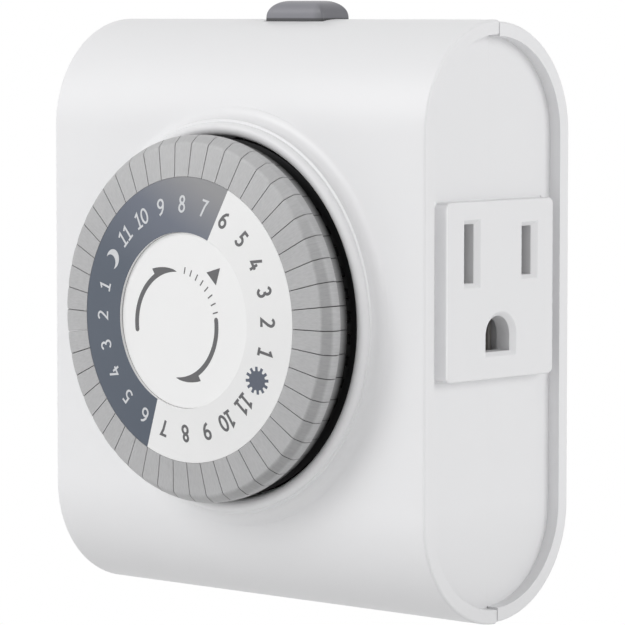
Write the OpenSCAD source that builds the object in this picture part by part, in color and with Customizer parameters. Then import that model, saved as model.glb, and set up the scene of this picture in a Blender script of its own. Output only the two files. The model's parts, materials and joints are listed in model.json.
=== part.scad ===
// Plug-in 24-hour timer switch with two grounded outlets.
// X runs to the right outlet, the dial looks to -Y, the plug points to +Y and Z is up.
// The origin is the centre of the rear face, which rests against the wall plate.

/* [Housing] */
// Width between the outer faces of the two side rims
body_w = 74; // [70:0.5:90]
// Height over the full-round top and bottom
body_h = 86.3; // [82:0.1:110]
// Depth from the front face to the rear face
body_d = 32; // [30:0.5:40]
// Wall of both shells
wall_t = 2; // [1.6:0.1:2.4]
// How far the rear shell's round ends stand in from the front shell's
rear_inset = 0.25; // [0:0.05:0.4]
// Open groove between the two shells
seam_gap = 0.4; // [0.2:0.1:0.6]
// Width of the same seam on the floors of the side recesses
floor_seam = 0.06; // [0.04:0.02:0.2]
// Depth of the rear shell's tongue inside the front shell
tongue_d = 1.4; // [1:0.1:2]
// Depth of the recess in each side
recess_depth = 1.9; // [1.2:0.1:2.4]
// Width of the rim round each side recess
rim_w = 2.1; // [1.8:0.1:3]
// Wall behind each side recess
recess_wall = 1.6; // [1.2:0.1:2]

/* [Collar and dial well] */
// Inner radius of the collar round the dial
collar_r = 26.4; // [26.2:0.1:27]
// Height of the collar above the front face
collar_h = 2.9; // [2.4:0.1:3.4]
// Width of the collar's rounded crest
collar_crest = 2; // [1.6:0.1:2.4]
// Radius of the cove at the collar's foot
collar_cove = 1.8; // [1.2:0.1:2.2]
// Depth of the well floor below the front face
well_depth = 1; // [0.6:0.1:1.2]
// Radius of the hole for the dial hub
hub_hole_r = 7; // [6.4:0.1:8]

/* [Dial] */
// Gap between the collar and the tabs' lower parts
dial_gap = 0.3; // [0.3:0.05:0.5]
// How far the tab ring stands in front of the front face
ring_proud = 9.4; // [9:0.1:10.5]
// How far the label rises from its rim to its centre hole
label_rise = 1; // [0.5:0.1:1.4]
// Thickness of the printed label disc
label_t = 0.5; // [0.3:0.1:0.8]
// Width of the label's ring
label_w = 7.8; // [7:0.1:9]
// How deep the centre disc sits in the label's hole
cap_sunk = 0.5; // [0.3:0.05:0.9]
// Thickness of the centre disc
cap_t = 1.2; // [1:0.1:1.5]
// Radial clearance round the centre disc
cap_gap = 0.15; // [0.15:0.05:0.5]
// Wall of the drum
drum_wall = 1.95; // [1.5:0.05:2.5]
// How far the flange behind the tabs stands in from their lower parts
flange_set = 0.1; // [0.05:0.05:0.3]
// Thickness of the flange
flange_t = 1.2; // [0.8:0.1:1.4]
// Angle of the first tab's edge, clockwise from the top
dial_phase = 23.1; // [22.8:0.1:23.4]

/* [Half-hour tabs] */
// Radial length of a tab, with its clearance at the label
tab_l = 6.1; // [5.9:0.1:6.5]
// Clearance between a tab and the dial's drum
tab_play = 0.15; // [0.1:0.05:0.2]
// How far a tab's face falls from the label to its bevel
tab_fall = 0.65; // [0:0.05:0.9]
// Width of the bevel on a tab's outer edge
tab_bevel_w = 1.3; // [0.8:0.1:1.6]
// Depth of the bevel on a tab's outer edge
tab_bevel = 1.2; // [0.6:0.1:1.6]
// Depth of a tab's full-width head
tab_head = 3.5; // [3.3:0.1:3.8]
// Depth of the whole tab without its fin
tab_depth = 5.4; // [5:0.1:5.6]
// Step-in of the tab's lower part
tab_step = 0.5; // [0.4:0.05:0.6]
// Angular gap between two tabs, in degrees
tab_gap = 0.55; // [0.4:0.05:1]
// Travel of a tab when it is pushed in
tab_travel = 2; // [1.5:0.1:2]
// Thickness of a tab's guide fin
fin_t = 1.2; // [1:0.1:1.3]
// Clearance on each side of a guide fin
fin_gap = 0.15; // [0.1:0.05:0.2]

/* [Outlets] */
// Height of an outlet block
outlet_h = 25.4; // [24.6:0.1:28]
// Width of an outlet block across the depth of the body
outlet_w = 23.5; // [22.5:0.1:25]
// Height of the outlet block's centre above the body's centre
outlet_z = 4.9; // [3:0.1:6]
// How far the outlet face stands proud of the side rim
outlet_proud = 0.4; // [0.2:0.1:1]
// Thickness of the outlet block's front wall
outlet_face_t = 3; // [2.5:0.1:3.5]
// Depth of an outlet block
outlet_depth = 16.9; // [16:0.1:18]
// Width of a slot's throat
slot_w = 2.4; // [2.2:0.1:2.6]
// Height of the neutral slot's throat
neutral_slot_h = 8.4; // [8:0.1:8.6]
// Height of the hot slot's throat
hot_slot_h = 7; // [6.8:0.1:7.6]
// Width of the bevel round each slot and ground hole
mouth_bevel = 0.65; // [0.4:0.05:0.8]
// Width of the ground hole
ground_hole_w = 5.6; // [5.4:0.1:6]

/* [Plug] */
// Width of a blade
blade_w = 6.35; // [6.2:0.05:6.5]
// Thickness of a blade
blade_t = 1.5; // [1.4:0.05:1.6]
// Length of a blade outside the rear face
blade_l = 17.1; // [15.9:0.1:18.3]
// Diameter of the ground pin
ground_d = 4.76; // [4.7:0.01:4.84]
// Length of the ground pin outside the rear face
ground_l = 20.6; // [19:0.1:21.5]
// Height of the blades above the body's centre
blade_z = 8; // [7.4:0.1:9]

/* [Override button] */
// Length of the button along the top
button_w = 11.4; // [10:0.1:13]
// Width of the button across the seam
button_d = 6; // [5:0.1:7]
// Height of the button above the top
button_h = 2.7; // [2.2:0.1:3.5]
// Radius of the button's two upper ends
button_round = 3.2; // [1.2:0.1:3.4]
// Travel of the button
button_travel = 1.8; // [1.2:0.1:1.8]
// Clearance round the button
button_gap = 0.25; // [0.15:0.05:0.4]

/* [Movement] */
// Module of the gear teeth
gear_m = 0.45; // [0.44:0.01:0.46]
// Backlash between two gears
gear_back = 0.05; // [0.03:0.01:0.08]
// Thickness of the movement plate
plate_t = 1.5; // [1.2:0.1:2]
// Distance from the front face to the movement plate
plate_depth = 9.5; // [9.4:0.1:10]
// Radius of the motor
motor_r = 15; // [13.5:0.5:15]
// Depth of the motor
motor_t = 11; // [9:0.5:12]
// Diameter of the dial axle
axle_d = 5; // [4.4:0.1:5]
// Radial running clearance of every turning piece
run_gap = 0.05; // [0.03:0.01:0.1]
// Thickness of the sheet brass
brass_t = 0.8; // [0.6:0.1:0.8]
// Diameter of the housing screws
screw_d = 3; // [2.6:0.1:3.5]

/* [Hidden] */
$fn = 72;
tab_count = 48;
tab_names = [for (i = [1:tab_count / 2]) str("tab_pair_", i < 10 ? "0" : "", i)];

// Colours
WHITE = [0.91, 0.91, 0.92];
GREY = [0.66, 0.66, 0.68];
DARK_GREY = [0.55, 0.55, 0.57];
NIGHT = [0.40, 0.43, 0.48];
BLACK = [0.05, 0.05, 0.055];
BRASS = [0.80, 0.65, 0.32];
STEEL = [0.72, 0.73, 0.75];
NATURAL = [0.86, 0.85, 0.80];

// Body outline, seen from the side: two half rounds of radius end_r on a straight middle
end_r = body_d / 2;
seam_y = -body_d / 2;
tongue_y = seam_y - seam_gap / 2 - tongue_d;
front_y = -body_d;
end_z = body_h / 2 - end_r;
rear_end_z = end_z - rear_inset;
side_x = body_w / 2;
floor_x = side_x - recess_depth;
inner_x = floor_x - recess_wall;
inner_r = end_r - wall_t;

// Dial stack, from the front
ring_y = front_y - ring_proud;
label_top_y = ring_y - label_rise;
tab_low_r = collar_r - dial_gap;
tab_r = tab_low_r + tab_step;
tab_flat_r = tab_r - tab_bevel_w;
label_r = tab_r - tab_l;
label_hole_r = label_r - label_w;
drum_r = label_r;
flange_r = tab_low_r - flange_set;
cap_y = label_top_y + cap_sunk;
cap_back_y = cap_y + cap_t;
cap_r = label_hole_r - cap_gap;
dish_y = cap_back_y + 0.35;
hub_face_y = cap_back_y + 0.95;
web_back_y = ring_y + 2.7;
tab_back_y = ring_y + tab_depth;
flange_y = tab_back_y + tab_travel + 0.3;
flange_back_y = flange_y + flange_t;
well_y = front_y + well_depth;
well_back_y = well_y + wall_t;
hub_r = 5;
hub_back_y = well_back_y - 0.4;
washer_t = 0.8;
dial_gear_y = hub_back_y + washer_t;
dial_gear_t = 1.7;
gear_hub_back_y = dial_gear_y + dial_gear_t + 0.4;
plate_y = front_y + plate_depth;
plate_back_y = plate_y + plate_t;
axle_r = axle_d / 2;
shoulder_r = axle_r + 1.5;

// Tabs
tab_pitch = 360 / tab_count;
fin_in_r = drum_r - 1.55;
fin_out_r = flange_r - 1.6;
fin_back_y = flange_back_y - 0.7;
slot_in_r = drum_r - drum_wall - 0.4;

// Gear train: motor pinion, reduction wheel and its pinion, dial gear
dial_teeth = 72;
wheel_teeth = 48;
pinion_teeth = 12;
dial_mesh = gear_m * (dial_teeth + pinion_teeth) / 2;
wheel_mesh = gear_m * (wheel_teeth + pinion_teeth) / 2;
wheel_angle = 165;
wheel_x = dial_mesh * sin(wheel_angle);
wheel_z = dial_mesh * cos(wheel_angle);
motor_shaft_x = 0;
motor_shaft_z = wheel_z - sqrt(pow(wheel_mesh, 2) - pow(wheel_x - motor_shaft_x, 2));
motor_off_y = max(seam_y - plate_back_y, plate_back_y + motor_t - seam_y);
motor_z = motor_r + 0.5 - rear_end_z - sqrt(pow(inner_r, 2) - pow(motor_off_y, 2));
pinion_axle_r = 1;
pinion_y = dial_gear_y + 0.1;
wheel_y = dial_gear_y + 3.4;
wheel_t = 1.5;
motor_pinion_y = wheel_y - 0.2;
motor_pinion_t = 1.9;
lug_x = motor_r + 2.5;
lug_t = 1;
lead_y = plate_back_y + 8;
lead_z = motor_z + motor_r - 1.5;

// Outlet geometry: slots 12.7 apart, ground 11.89 below them
slot_dy = 12.7 / 2;
ground_drop = 11.89;
slot_z = outlet_z + 5.3;
ground_z = slot_z - ground_drop;
face_x = side_x + outlet_proud;
block_in_x = face_x - outlet_depth;
block_step = 1;
pocket_w = 4.4;
pocket_h = 10.4;
ground_pocket = 7.2;
clip_in_x = block_in_x - 0.3;
clip_web = 0.7;
clip_leaf = 0.7;
clip_l = 13;
clip_h = 7.2;
bar_h = 5.4;
near_y = seam_y - slot_dy;
far_y = seam_y + slot_dy;

// Plug
blade_dx = 12.7 / 2;
pin_z = blade_z - ground_drop;
root_y = far_y - brass_t / 2 - 0.35;
blade_out_x = blade_dx + blade_t / 2;
bar_out_x = blade_out_x + brass_t;
bar_mid_x = blade_out_x + brass_t / 2;
ground_r = ground_d / 2;
shank_r = ground_r - 0.5;
stop_t = 1.6;
bar_lap = 4;

// Posts, bosses and screws
boss_x = side_x - 8.5;
head_r = screw_d / 2 + 1.2;
head_y = -2.2;
boss_r = head_r + 1.1;
boss_z = outlet_z + outlet_h / 2 + block_step + boss_r + 1.55;
post_low_z = -end_z - 5.85;
post_high_z = outlet_z - outlet_h / 2 - 2.7;
post_x = 20;
low_post_x = 16;
posts = [[post_x, post_high_z], [-post_x, post_high_z], [low_post_x, post_low_z], [-low_post_x, post_low_z]];
plate_edge = 2.5;
plate_low_z = post_low_z - 3;
plate_high_z = post_high_z + 3;
plate_tongue_w = 16;
plate_tongue_z = 5.5;
post_r = 2;
base_posts = [[12.5, 17.5], [-12.5, 17.5]];
small_screw_r = 0.9;

// Switch lever and contacts
nose_r = fin_out_r - 0.9;
nose_angle = dial_phase - 3 * tab_pitch;
nose_x = nose_r * sin(nose_angle);
nose_z = nose_r * cos(nose_angle);
nose_tip_y = flange_back_y + 0.2;
window_r = 2.6;
lever_y = well_back_y + 2.4;
lever_t = 1.4;
pivot_y = lever_y + 1;
pivot_z = end_z + 4.85;
pivot_r = 1;
leaf_y = pivot_y + 1.3;
leaf_t = 0.4;
leaf_root_z = 19;
leaf_top_z = pivot_z - 2;
nub_z = nose_z + 1.5;
contact_z = leaf_top_z - 1.5;
contact_y = leaf_y + leaf_t + 0.6;
contact_gap = 1.8;
fixed_y = contact_y + contact_gap + 0.6;
leaf_w = 4.4;
riser_z = 19.5;
riser_top = riser_z + 2;
bar_line_z = 14.5;
bar_line_top = bar_line_z + 2.7;
ear_x = 3;
ear_t = 1.5;
ear_w = 4.4;
base_y = leaf_y - 1.9;
base_half_w = 15;
base_back_half_w = 10;

// Button and override contact
button_top = body_h / 2 + button_h;
button_x = 0.2;
flange_z = body_h / 2 - wall_t - 2.55;
button_flange_h = 1.5;
button_lip_x = 1.2;
button_lip_y = 1;
stem_r = 1.5;
shelf_z = flange_z - 6.4;
shelf_t = 1;
bridge_z = shelf_z - 1.8;
bridge_t = 0.5;
bridge_x = 6.5;
terminal_z = bridge_z - button_travel - 0.05;

// Helpers ------------------------------------------------------------------

// Extrudes a flat shape drawn in (x, z) from y0 to y1
module slab_y(y0, y1) {
    translate([0, y1, 0]) rotate([90, 0, 0]) linear_extrude(y1 - y0) children();
}
// Extrudes a flat shape drawn in (y, z) from x0 to x1
module slab_x(x0, x1) {
    translate([x0, 0, 0]) rotate([90, 0, 90]) linear_extrude(x1 - x0) children();
}
// Turns a profile drawn in (radius, y) about the dial's axis
module turned() {
    rotate([-90, 0, 0]) rotate_extrude() children();
}
module rod_y(y0, y1, r) {
    translate([0, y0, 0]) rotate([-90, 0, 0]) cylinder(h = y1 - y0, r = r);
}
module rod_x(x0, x1, r) {
    translate([x0, 0, 0]) rotate([0, 90, 0]) cylinder(h = x1 - x0, r = r);
}
// A box between two opposite corners
module box(a, b) {
    translate(a) cube(b - a);
}
module at_xz(p) {
    translate([p[0], 0, p[1]]) children();
}
// Turns by half a turn about the body's upright centre line
module other_side() {
    translate([0, seam_y, 0]) rotate([0, 0, 180]) translate([0, -seam_y, 0]) children();
}

// Body outline in (y, z), drawn in from the outside by inset
module outline(inset, z_mid) {
    for (s = [-1, 1]) translate([seam_y, s * z_mid]) circle(r = end_r - inset);
    translate([seam_y - end_r + inset, -z_mid]) square([2 * (end_r - inset), 2 * z_mid]);
}
module front_outline(inset) {
    intersection() {
        outline(inset, end_z);
        translate([front_y - 1, -body_h]) square([end_r + 1 - seam_gap / 2, 2 * body_h]);
    }
}
module rear_outline(inset) {
    intersection() {
        outline(inset, rear_end_z);
        translate([seam_y + seam_gap / 2, -body_h]) square([end_r + 1, 2 * body_h]);
    }
}

// Involute gear outline in (x, z) with a tooth at the top
function involute(a) = tan(a) * 180 / PI - a;
function tooth_half(r, pitch_r, base_r, teeth) =
    90 / teeth - gear_back * 90 / (PI * pitch_r) + involute(25)
    - (r <= base_r ? 0 : involute(acos(base_r / r)));
module gear_outline(teeth) {
    pitch_r = gear_m * teeth / 2;
    base_r = pitch_r * cos(25);
    tip_r = pitch_r + 0.9 * gear_m;
    root_r = pitch_r - 1.15 * gear_m;
    start_r = max(base_r, root_r);
    steps = 3;
    radii = concat(root_r < start_r ? [root_r] : [],
        [for (i = [0:steps]) start_r + (tip_r - start_r) * i / steps]);
    last = len(radii) - 1;
    polygon([for (k = [0:teeth - 1]) for (i = [0:2 * last + 1])
        let (r = radii[i <= last ? i : 2 * last + 1 - i],
            side = i <= last ? -1 : 1,
            a = 360 * k / teeth + side * tooth_half(r, pitch_r, base_r, teeth))
        [r * sin(a), r * cos(a)]]);
}

// Housing ------------------------------------------------------------------

module side_recesses(z_mid) {
    for (s = [-1, 1])
        slab_x(s > 0 ? floor_x : -side_x - 1, s > 0 ? side_x + 1 : -floor_x) outline(rim_w, z_mid);
}
// Edges of the recess floors that reach in over the groove, for the shell on side dir of the seam
module floor_edges(dir, z_mid) {
    high = z_mid + end_r - rim_w;
    near = seam_y + dir * floor_seam / 2;
    far = seam_y + dir * (seam_gap / 2 + 0.1);
    for (s = [-1, 1])
        box([s > 0 ? inner_x : -floor_x, min(near, far), -high],
            [s > 0 ? floor_x : -inner_x, max(near, far), high]);
}
module outlet_windows() {
    gap = 0.15;
    for (s = [-1, 1])
        block_part(s > 0 ? inner_x - 1 : -floor_x - 1, s > 0 ? floor_x + 1 : -inner_x + 1, gap);
}
module button_hole() {
    box([button_x - button_w / 2 - button_gap, seam_y - button_d / 2 - button_gap, end_z],
        [button_x + button_w / 2 + button_gap, seam_y + button_d / 2 + button_gap, body_h]);
}
// Collar profile in (radius, y): rounded crest, sloping outside, hollow cove at the foot
module collar_profile() {
    crest_r = collar_crest / 2;
    crest_y = front_y - collar_h + crest_r;
    foot_r = collar_r + collar_crest + 0.35;
    polygon(concat(
        [[collar_r, front_y + 0.5], [collar_r, crest_y]],
        [for (a = [15:15:165])
            [collar_r + crest_r - crest_r * cos(a), crest_y - crest_r * sin(a)]],
        [[collar_r + collar_crest, crest_y], [foot_r, front_y - collar_cove]],
        [for (a = [15:15:90])
            [foot_r + collar_cove - collar_cove * cos(a), front_y - collar_cove + collar_cove * sin(a)]],
        [[foot_r + collar_cove, front_y + 0.5]]));
}
module boss_pairs() {
    for (sx = [-1, 1]) for (sz = [-1, 1]) translate([sx * boss_x, 0, sz * boss_z]) children();
}

module front_housing() {
    color(WHITE) difference() {
        union() {
            difference() {
                slab_x(-side_x, side_x) front_outline(0);
                slab_x(-inner_x, inner_x) outline(wall_t, end_z);
                side_recesses(end_z);
                // rebate for the rear shell's tongue
                slab_x(-inner_x, inner_x) intersection() {
                    outline(wall_t / 2 - 0.05, end_z);
                    translate([tongue_y - 0.15, -body_h]) square([body_d, 2 * body_h]);
                }
            }
            floor_edges(-1, end_z);
            turned() collar_profile();
            // well floor and its surround
            rod_y(front_y + 0.5, well_back_y, collar_r + wall_t);
            // screw bosses, plate posts, contact base posts and ears for the lever pin
            boss_pairs() rod_y(front_y + wall_t / 2, seam_y - seam_gap / 2, boss_r);
            intersection() {
                slab_x(-side_x, side_x) outline(wall_t / 2, end_z);
                union() {
                    for (p = posts) at_xz(p) rod_y(front_y, plate_y, post_r);
                    for (p = base_posts) at_xz(p) {
                        rod_y(front_y, base_y, post_r);
                        rod_y(base_y - 0.5, base_y + 2.2, small_screw_r + 0.3);
                    }
                    for (x = [-ear_x - ear_t, ear_x])
                        box([x, front_y, pivot_z - ear_w / 2],
                            [x + ear_t, pivot_y + 1.8, pivot_z + ear_w / 2]);
                }
            }
        }
        outlet_windows();
        rod_y(front_y - body_d, well_y, collar_r);
        rod_y(front_y, well_back_y + 1, hub_hole_r);
        translate([nose_x, 0, nose_z]) rod_y(front_y, well_back_y + 0.01, window_r);
        translate([wheel_x, 0, wheel_z]) rod_y(well_y + 0.8, well_back_y + 1, pinion_axle_r + run_gap);
        translate([0, pivot_y, pivot_z]) rod_x(-5, 5, pivot_r + 0.02);
        boss_pairs() rod_y(seam_y - 8, seam_y + 1, screw_d / 2);
        for (p = posts) at_xz(p) rod_y(plate_y - 4.5, plate_y + 1, small_screw_r);
        button_hole();
    }
}

// Strips behind the right recess, above and below its outlet
module seam_strips() {
    far_z = rear_end_z + inner_r - 3;
    for (side = [-1, 1]) {
        near_z = side * outlet_z + outlet_h / 2 + block_step + 0.5;
        low = side > 0 ? near_z : -far_z;
        high = side > 0 ? far_z : -near_z;
        box([inner_x - 0.9, tongue_y, low], [inner_x - 0.1, seam_y + 2, high]);
        box([inner_x - 0.9, seam_y + seam_gap, low], [inner_x + 0.3, seam_y + 2, high]);
    }
}
module rear_housing() {
    back_y = -wall_t;
    color(WHITE) difference() {
        union() {
            difference() {
                union() {
                    slab_x(-side_x, side_x) rear_outline(0);
                    // tongue
                    slab_x(-inner_x + 0.1, inner_x - 0.1) intersection() {
                        outline(wall_t / 2 + 0.05, rear_end_z);
                        translate([tongue_y, -body_h]) square([tongue_d + 2, 2 * body_h]);
                    }
                }
                slab_x(-inner_x, inner_x) outline(wall_t, rear_end_z);
                side_recesses(rear_end_z);
            }
            floor_edges(1, rear_end_z);
            boss_pairs() rod_y(seam_y + seam_gap / 2, back_y + 0.5, boss_r);
            // strips that close the seam behind the side recesses
            seam_strips();
            mirror([1, 0, 0]) seam_strips();
            // shelf under the button spring
            intersection() {
                box([-8, seam_y - 3.2, shelf_z - shelf_t], [8, 0, shelf_z]);
                slab_x(-side_x, side_x) outline(wall_t / 2, rear_end_z);
            }
        }
        outlet_windows();
        boss_pairs() rod_y(seam_y - 1, 1, screw_d / 2 + 0.15);
        boss_pairs() rod_y(head_y, 1, head_r + 0.15);
        // blade slots and ground pin hole
        for (s = [-1, 1])
            box([s * blade_dx - blade_t / 2 - 0.05, back_y - 3, blade_z - blade_w / 2 - 0.05],
                [s * blade_dx + blade_t / 2 + 0.05, 1, blade_z + blade_w / 2 + 0.05]);
        translate([0, 0, pin_z]) rod_y(back_y - 3, 1, shank_r + 0.03);
        // sunk seat, so that the pin's full width clears the face
        translate([0, 0, pin_z]) rod_y(-wall_t / 3, 1, ground_r + 0.1);
        button_hole();
        box([button_x - stem_r - 0.2, seam_y - stem_r - 0.2, shelf_z - 3],
            [button_x + stem_r + 0.2, seam_y + stem_r + 0.2, shelf_z + 1]);
    }
}

// Outlets ------------------------------------------------------------------

// Bevelled slot through the face of the right outlet
module slot_hole(y, h) {
    deep = mouth_bevel;
    box([face_x - outlet_face_t - 1, y - slot_w / 2, slot_z - h / 2],
        [face_x + 1, y + slot_w / 2, slot_z + h / 2]);
    intersection() {
        slab_y(y - slot_w, y + slot_w)
            polygon([[face_x - deep, slot_z - h / 2], [face_x + deep, slot_z - h / 2 - 2 * deep],
                [face_x + deep, slot_z + h / 2 + 2 * deep], [face_x - deep, slot_z + h / 2]]);
        translate([0, 0, slot_z - h]) linear_extrude(2 * h)
            polygon([[face_x - deep, y - slot_w / 2], [face_x + deep, y - slot_w / 2 - 2 * deep],
                [face_x + deep, y + slot_w / 2 + 2 * deep], [face_x - deep, y + slot_w / 2]]);
    }
}
// Bevelled ground hole: round above, flat below
module ground_hole() {
    r = ground_hole_w / 2;
    flat = 2.3;
    deep = mouth_bevel;
    slab_x(face_x - outlet_face_t - 1, face_x + 1) translate([seam_y, ground_z]) {
        intersection() {
            circle(r = r);
            translate([-r, 0]) square([2 * r, r + 1]);
        }
        translate([-r, -flat]) square([2 * r, flat + 0.01]);
    }
    translate([0, seam_y, ground_z]) {
        intersection() {
            translate([face_x - deep, 0, 0]) rotate([0, 90, 0])
                cylinder(h = 2 * deep, r1 = r, r2 = r + 2 * deep);
            box([0, -2 * r, 0], [2 * side_x, 2 * r, 2 * r]);
        }
        intersection() {
            slab_y(-2 * r, 2 * r)
                polygon([[face_x - deep, -flat], [face_x + deep, -flat - 2 * deep],
                    [face_x + deep, 0], [face_x - deep, 0]]);
            translate([0, 0, -2 * r]) linear_extrude(2 * r)
                polygon([[face_x - deep, -r], [face_x + deep, -r - 2 * deep],
                    [face_x + deep, r + 2 * deep], [face_x - deep, r]]);
        }
    }
}
module block_part(x0, x1, grow) {
    box([x0, seam_y - outlet_w / 2 - grow, outlet_z - outlet_h / 2 - grow],
        [x1, seam_y + outlet_w / 2 + grow, outlet_z + outlet_h / 2 + grow]);
}
module outlet_block() {
    pocket_x = face_x - outlet_face_t;
    difference() {
        union() {
            block_part(inner_x - 2.2, face_x, 0);
            block_part(inner_x - 2.2, inner_x - 0.2, block_step);
            block_part(block_in_x, inner_x - 2.1, -block_step);
        }
        slot_hole(near_y, neutral_slot_h);
        slot_hole(far_y, hot_slot_h);
        ground_hole();
        for (y = [near_y, far_y])
            box([block_in_x - 1, y - pocket_w / 2, slot_z - pocket_h / 2],
                [pocket_x, y + pocket_w / 2, slot_z + pocket_h / 2]);
        box([block_in_x - 1, seam_y - ground_pocket / 2, ground_z - ground_pocket / 2],
            [pocket_x, seam_y + ground_pocket / 2, ground_z + ground_pocket / 2]);
    }
}
module outlet_block_right() { color(WHITE) outlet_block(); }
module outlet_block_left() { color(WHITE) other_side() outlet_block(); }

// Spring clip of the right outlet: two leaves on a web, for a blade or pin gap wide
module clip(y, z, gap) {
    for (s = [-1, 1])
        box([clip_in_x, y + (s > 0 ? gap / 2 : -gap / 2 - clip_leaf), z - clip_h / 2],
            [clip_in_x + clip_l, y + (s > 0 ? gap / 2 + clip_leaf : -gap / 2), z + clip_h / 2]);
    box([clip_in_x - clip_web, y - gap / 2 - clip_leaf, z - clip_h / 2],
        [clip_in_x, y + gap / 2 + clip_leaf, z + clip_h / 2]);
}

// Dial ---------------------------------------------------------------------

module tab_slots() {
    for (i = [0:tab_count - 1]) rotate([0, dial_phase + (i + 0.5) * tab_pitch, 0])
        box([-fin_t / 2 - fin_gap, web_back_y, slot_in_r],
            [fin_t / 2 + fin_gap, flange_back_y + 1, fin_out_r + 0.3]);
}
module dial_carrier() {
    seat_y = ring_y + label_t;
    dish_top_y = label_top_y + label_t;
    drum_in_r = drum_r - drum_wall;
    color(BLACK) difference() {
        turned() polygon([[axle_r + run_gap, hub_face_y], [6.5, hub_face_y], [6.5, dish_y],
            [label_hole_r, dish_y], [label_hole_r, dish_top_y], [drum_r, seat_y], [drum_r, flange_y],
            [flange_r, flange_y], [flange_r, flange_back_y], [drum_in_r, flange_back_y],
            [drum_in_r, web_back_y], [hub_r, web_back_y], [hub_r, hub_back_y],
            [axle_r + run_gap, hub_back_y]]);
        tab_slots();
    }
}
module dial_gear() {
    color(NATURAL) difference() {
        union() {
            slab_y(dial_gear_y, dial_gear_y + dial_gear_t) gear_outline(dial_teeth);
            rod_y(dial_gear_y + 0.5, gear_hub_back_y, hub_r);
        }
        rod_y(dial_gear_y - 1, gear_hub_back_y + 1, axle_r + run_gap);
    }
}
module clutch_washer() {
    color(STEEL) difference() {
        rod_y(hub_back_y, dial_gear_y, hub_r + 0.6);
        rod_y(hub_back_y - 1, dial_gear_y + 1, axle_r + 0.3);
    }
}
module dial_label() {
    color(NIGHT) turned() polygon([[label_hole_r, label_top_y], [label_r, ring_y],
        [label_r, ring_y + label_t], [label_hole_r, label_top_y + label_t]]);
}
module center_cap() {
    color(WHITE) turned() polygon([[0, cap_y], [cap_r - 0.3, cap_y], [cap_r, cap_y + 0.3],
        [cap_r, cap_back_y], [axle_r - 1, cap_back_y], [axle_r - 1, cap_back_y + 3], [0, cap_back_y + 3]]);
}
module dial_axle() {
    clip_y = hub_face_y - 0.65;
    color(STEEL) difference() {
        turned() polygon([[0, cap_back_y], [axle_r, cap_back_y], [axle_r, clip_y], [axle_r - 0.4, clip_y],
            [axle_r - 0.4, hub_face_y - 0.05], [axle_r, hub_face_y - 0.05], [axle_r, gear_hub_back_y + 0.1],
            [shoulder_r, gear_hub_back_y + 0.1], [shoulder_r, plate_y], [axle_r, plate_y],
            [axle_r, plate_back_y], [axle_r + 0.8, plate_back_y], [axle_r, plate_back_y + 0.8],
            [0, plate_back_y + 0.8]]);
        rod_y(cap_back_y - 1, cap_back_y + 3.2, axle_r - 0.95);
    }
}
module retaining_clip() {
    color(STEEL) difference() {
        rod_y(hub_face_y - 0.65, hub_face_y - 0.05, axle_r + 1.6);
        rod_y(hub_face_y - 2, hub_face_y + 1, axle_r - 0.38);
        box([-0.9, hub_face_y - 2, -axle_r - 3], [0.9, hub_face_y + 1, 0]);
    }
}

module tab() {
    start = (tab_pitch - tab_gap) / 2;
    head_back_y = ring_y + tab_head;
    rotate([-90, 0, 0]) rotate([0, 0, -90 - start]) rotate_extrude(angle = 2 * start)
        polygon([[label_r + tab_play, ring_y], [tab_flat_r, ring_y + tab_fall],
            [tab_r, ring_y + tab_fall + tab_bevel], [tab_r, head_back_y], [tab_low_r, head_back_y],
            [tab_low_r, tab_back_y], [label_r + tab_play, tab_back_y]]);
    box([-fin_t / 2, web_back_y + 0.3, fin_in_r], [fin_t / 2, fin_back_y, label_r + 1]);
    box([-fin_t / 2, tab_back_y - 0.5, label_r], [fin_t / 2, fin_back_y, fin_out_r]);
}
module tab_pair(i) {
    color(GREY) for (j = [0, 1]) rotate([0, dial_phase + (2 * i + j + 0.5) * tab_pitch, 0]) tab();
}

// Movement -----------------------------------------------------------------

module movement_plate() {
    color(NATURAL) difference() {
        slab_y(plate_y, plate_back_y) {
            translate([-post_x - plate_edge, plate_low_z])
                square([2 * (post_x + plate_edge), plate_high_z - plate_low_z]);
            translate([-plate_tongue_w / 2, post_high_z])
                square([plate_tongue_w, plate_tongue_z - post_high_z]);
        }
        rod_y(plate_y - 1, plate_back_y + 1, axle_r + 0.02);
        translate([wheel_x, 0, wheel_z]) rod_y(plate_y - 1, plate_back_y + 1, pinion_axle_r + 0.02);
        translate([motor_shaft_x, 0, motor_shaft_z]) rod_y(plate_y - 1, plate_back_y + 1, 2);
        for (p = posts) at_xz(p) rod_y(plate_y - 1, plate_back_y + 1, small_screw_r + 0.2);
        for (x = [-lug_x, lug_x]) at_xz([x, motor_z]) rod_y(plate_y - 1, plate_back_y + 1, small_screw_r);
    }
}
module timer_motor() {
    back_y = plate_back_y + motor_t;
    color(STEEL) difference() {
        union() {
            at_xz([0, motor_z]) turned() polygon([[0, plate_back_y], [motor_r, plate_back_y],
                [motor_r, back_y - 1], [motor_r - 1, back_y], [motor_r - 5, back_y],
                [motor_r - 5.5, back_y - 0.6], [0, back_y - 0.6]]);
            // fixing lugs and the coil's terminal block
            box([-lug_x - 2, plate_back_y, motor_z - 2.2], [lug_x + 2, plate_back_y + lug_t, motor_z + 2.2]);
            box([-9.5, lead_y - 2.5, lead_z - 4.5], [9.5, lead_y + 2.5, lead_z]);
        }
        at_xz([motor_shaft_x, motor_shaft_z])
            rod_y(plate_back_y - 1, plate_back_y + 3.2, pinion_axle_r + run_gap);
        for (x = [-lug_x, lug_x]) at_xz([x, motor_z])
            rod_y(plate_back_y - 1, plate_back_y + 2, small_screw_r + 0.2);
    }
}
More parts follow.
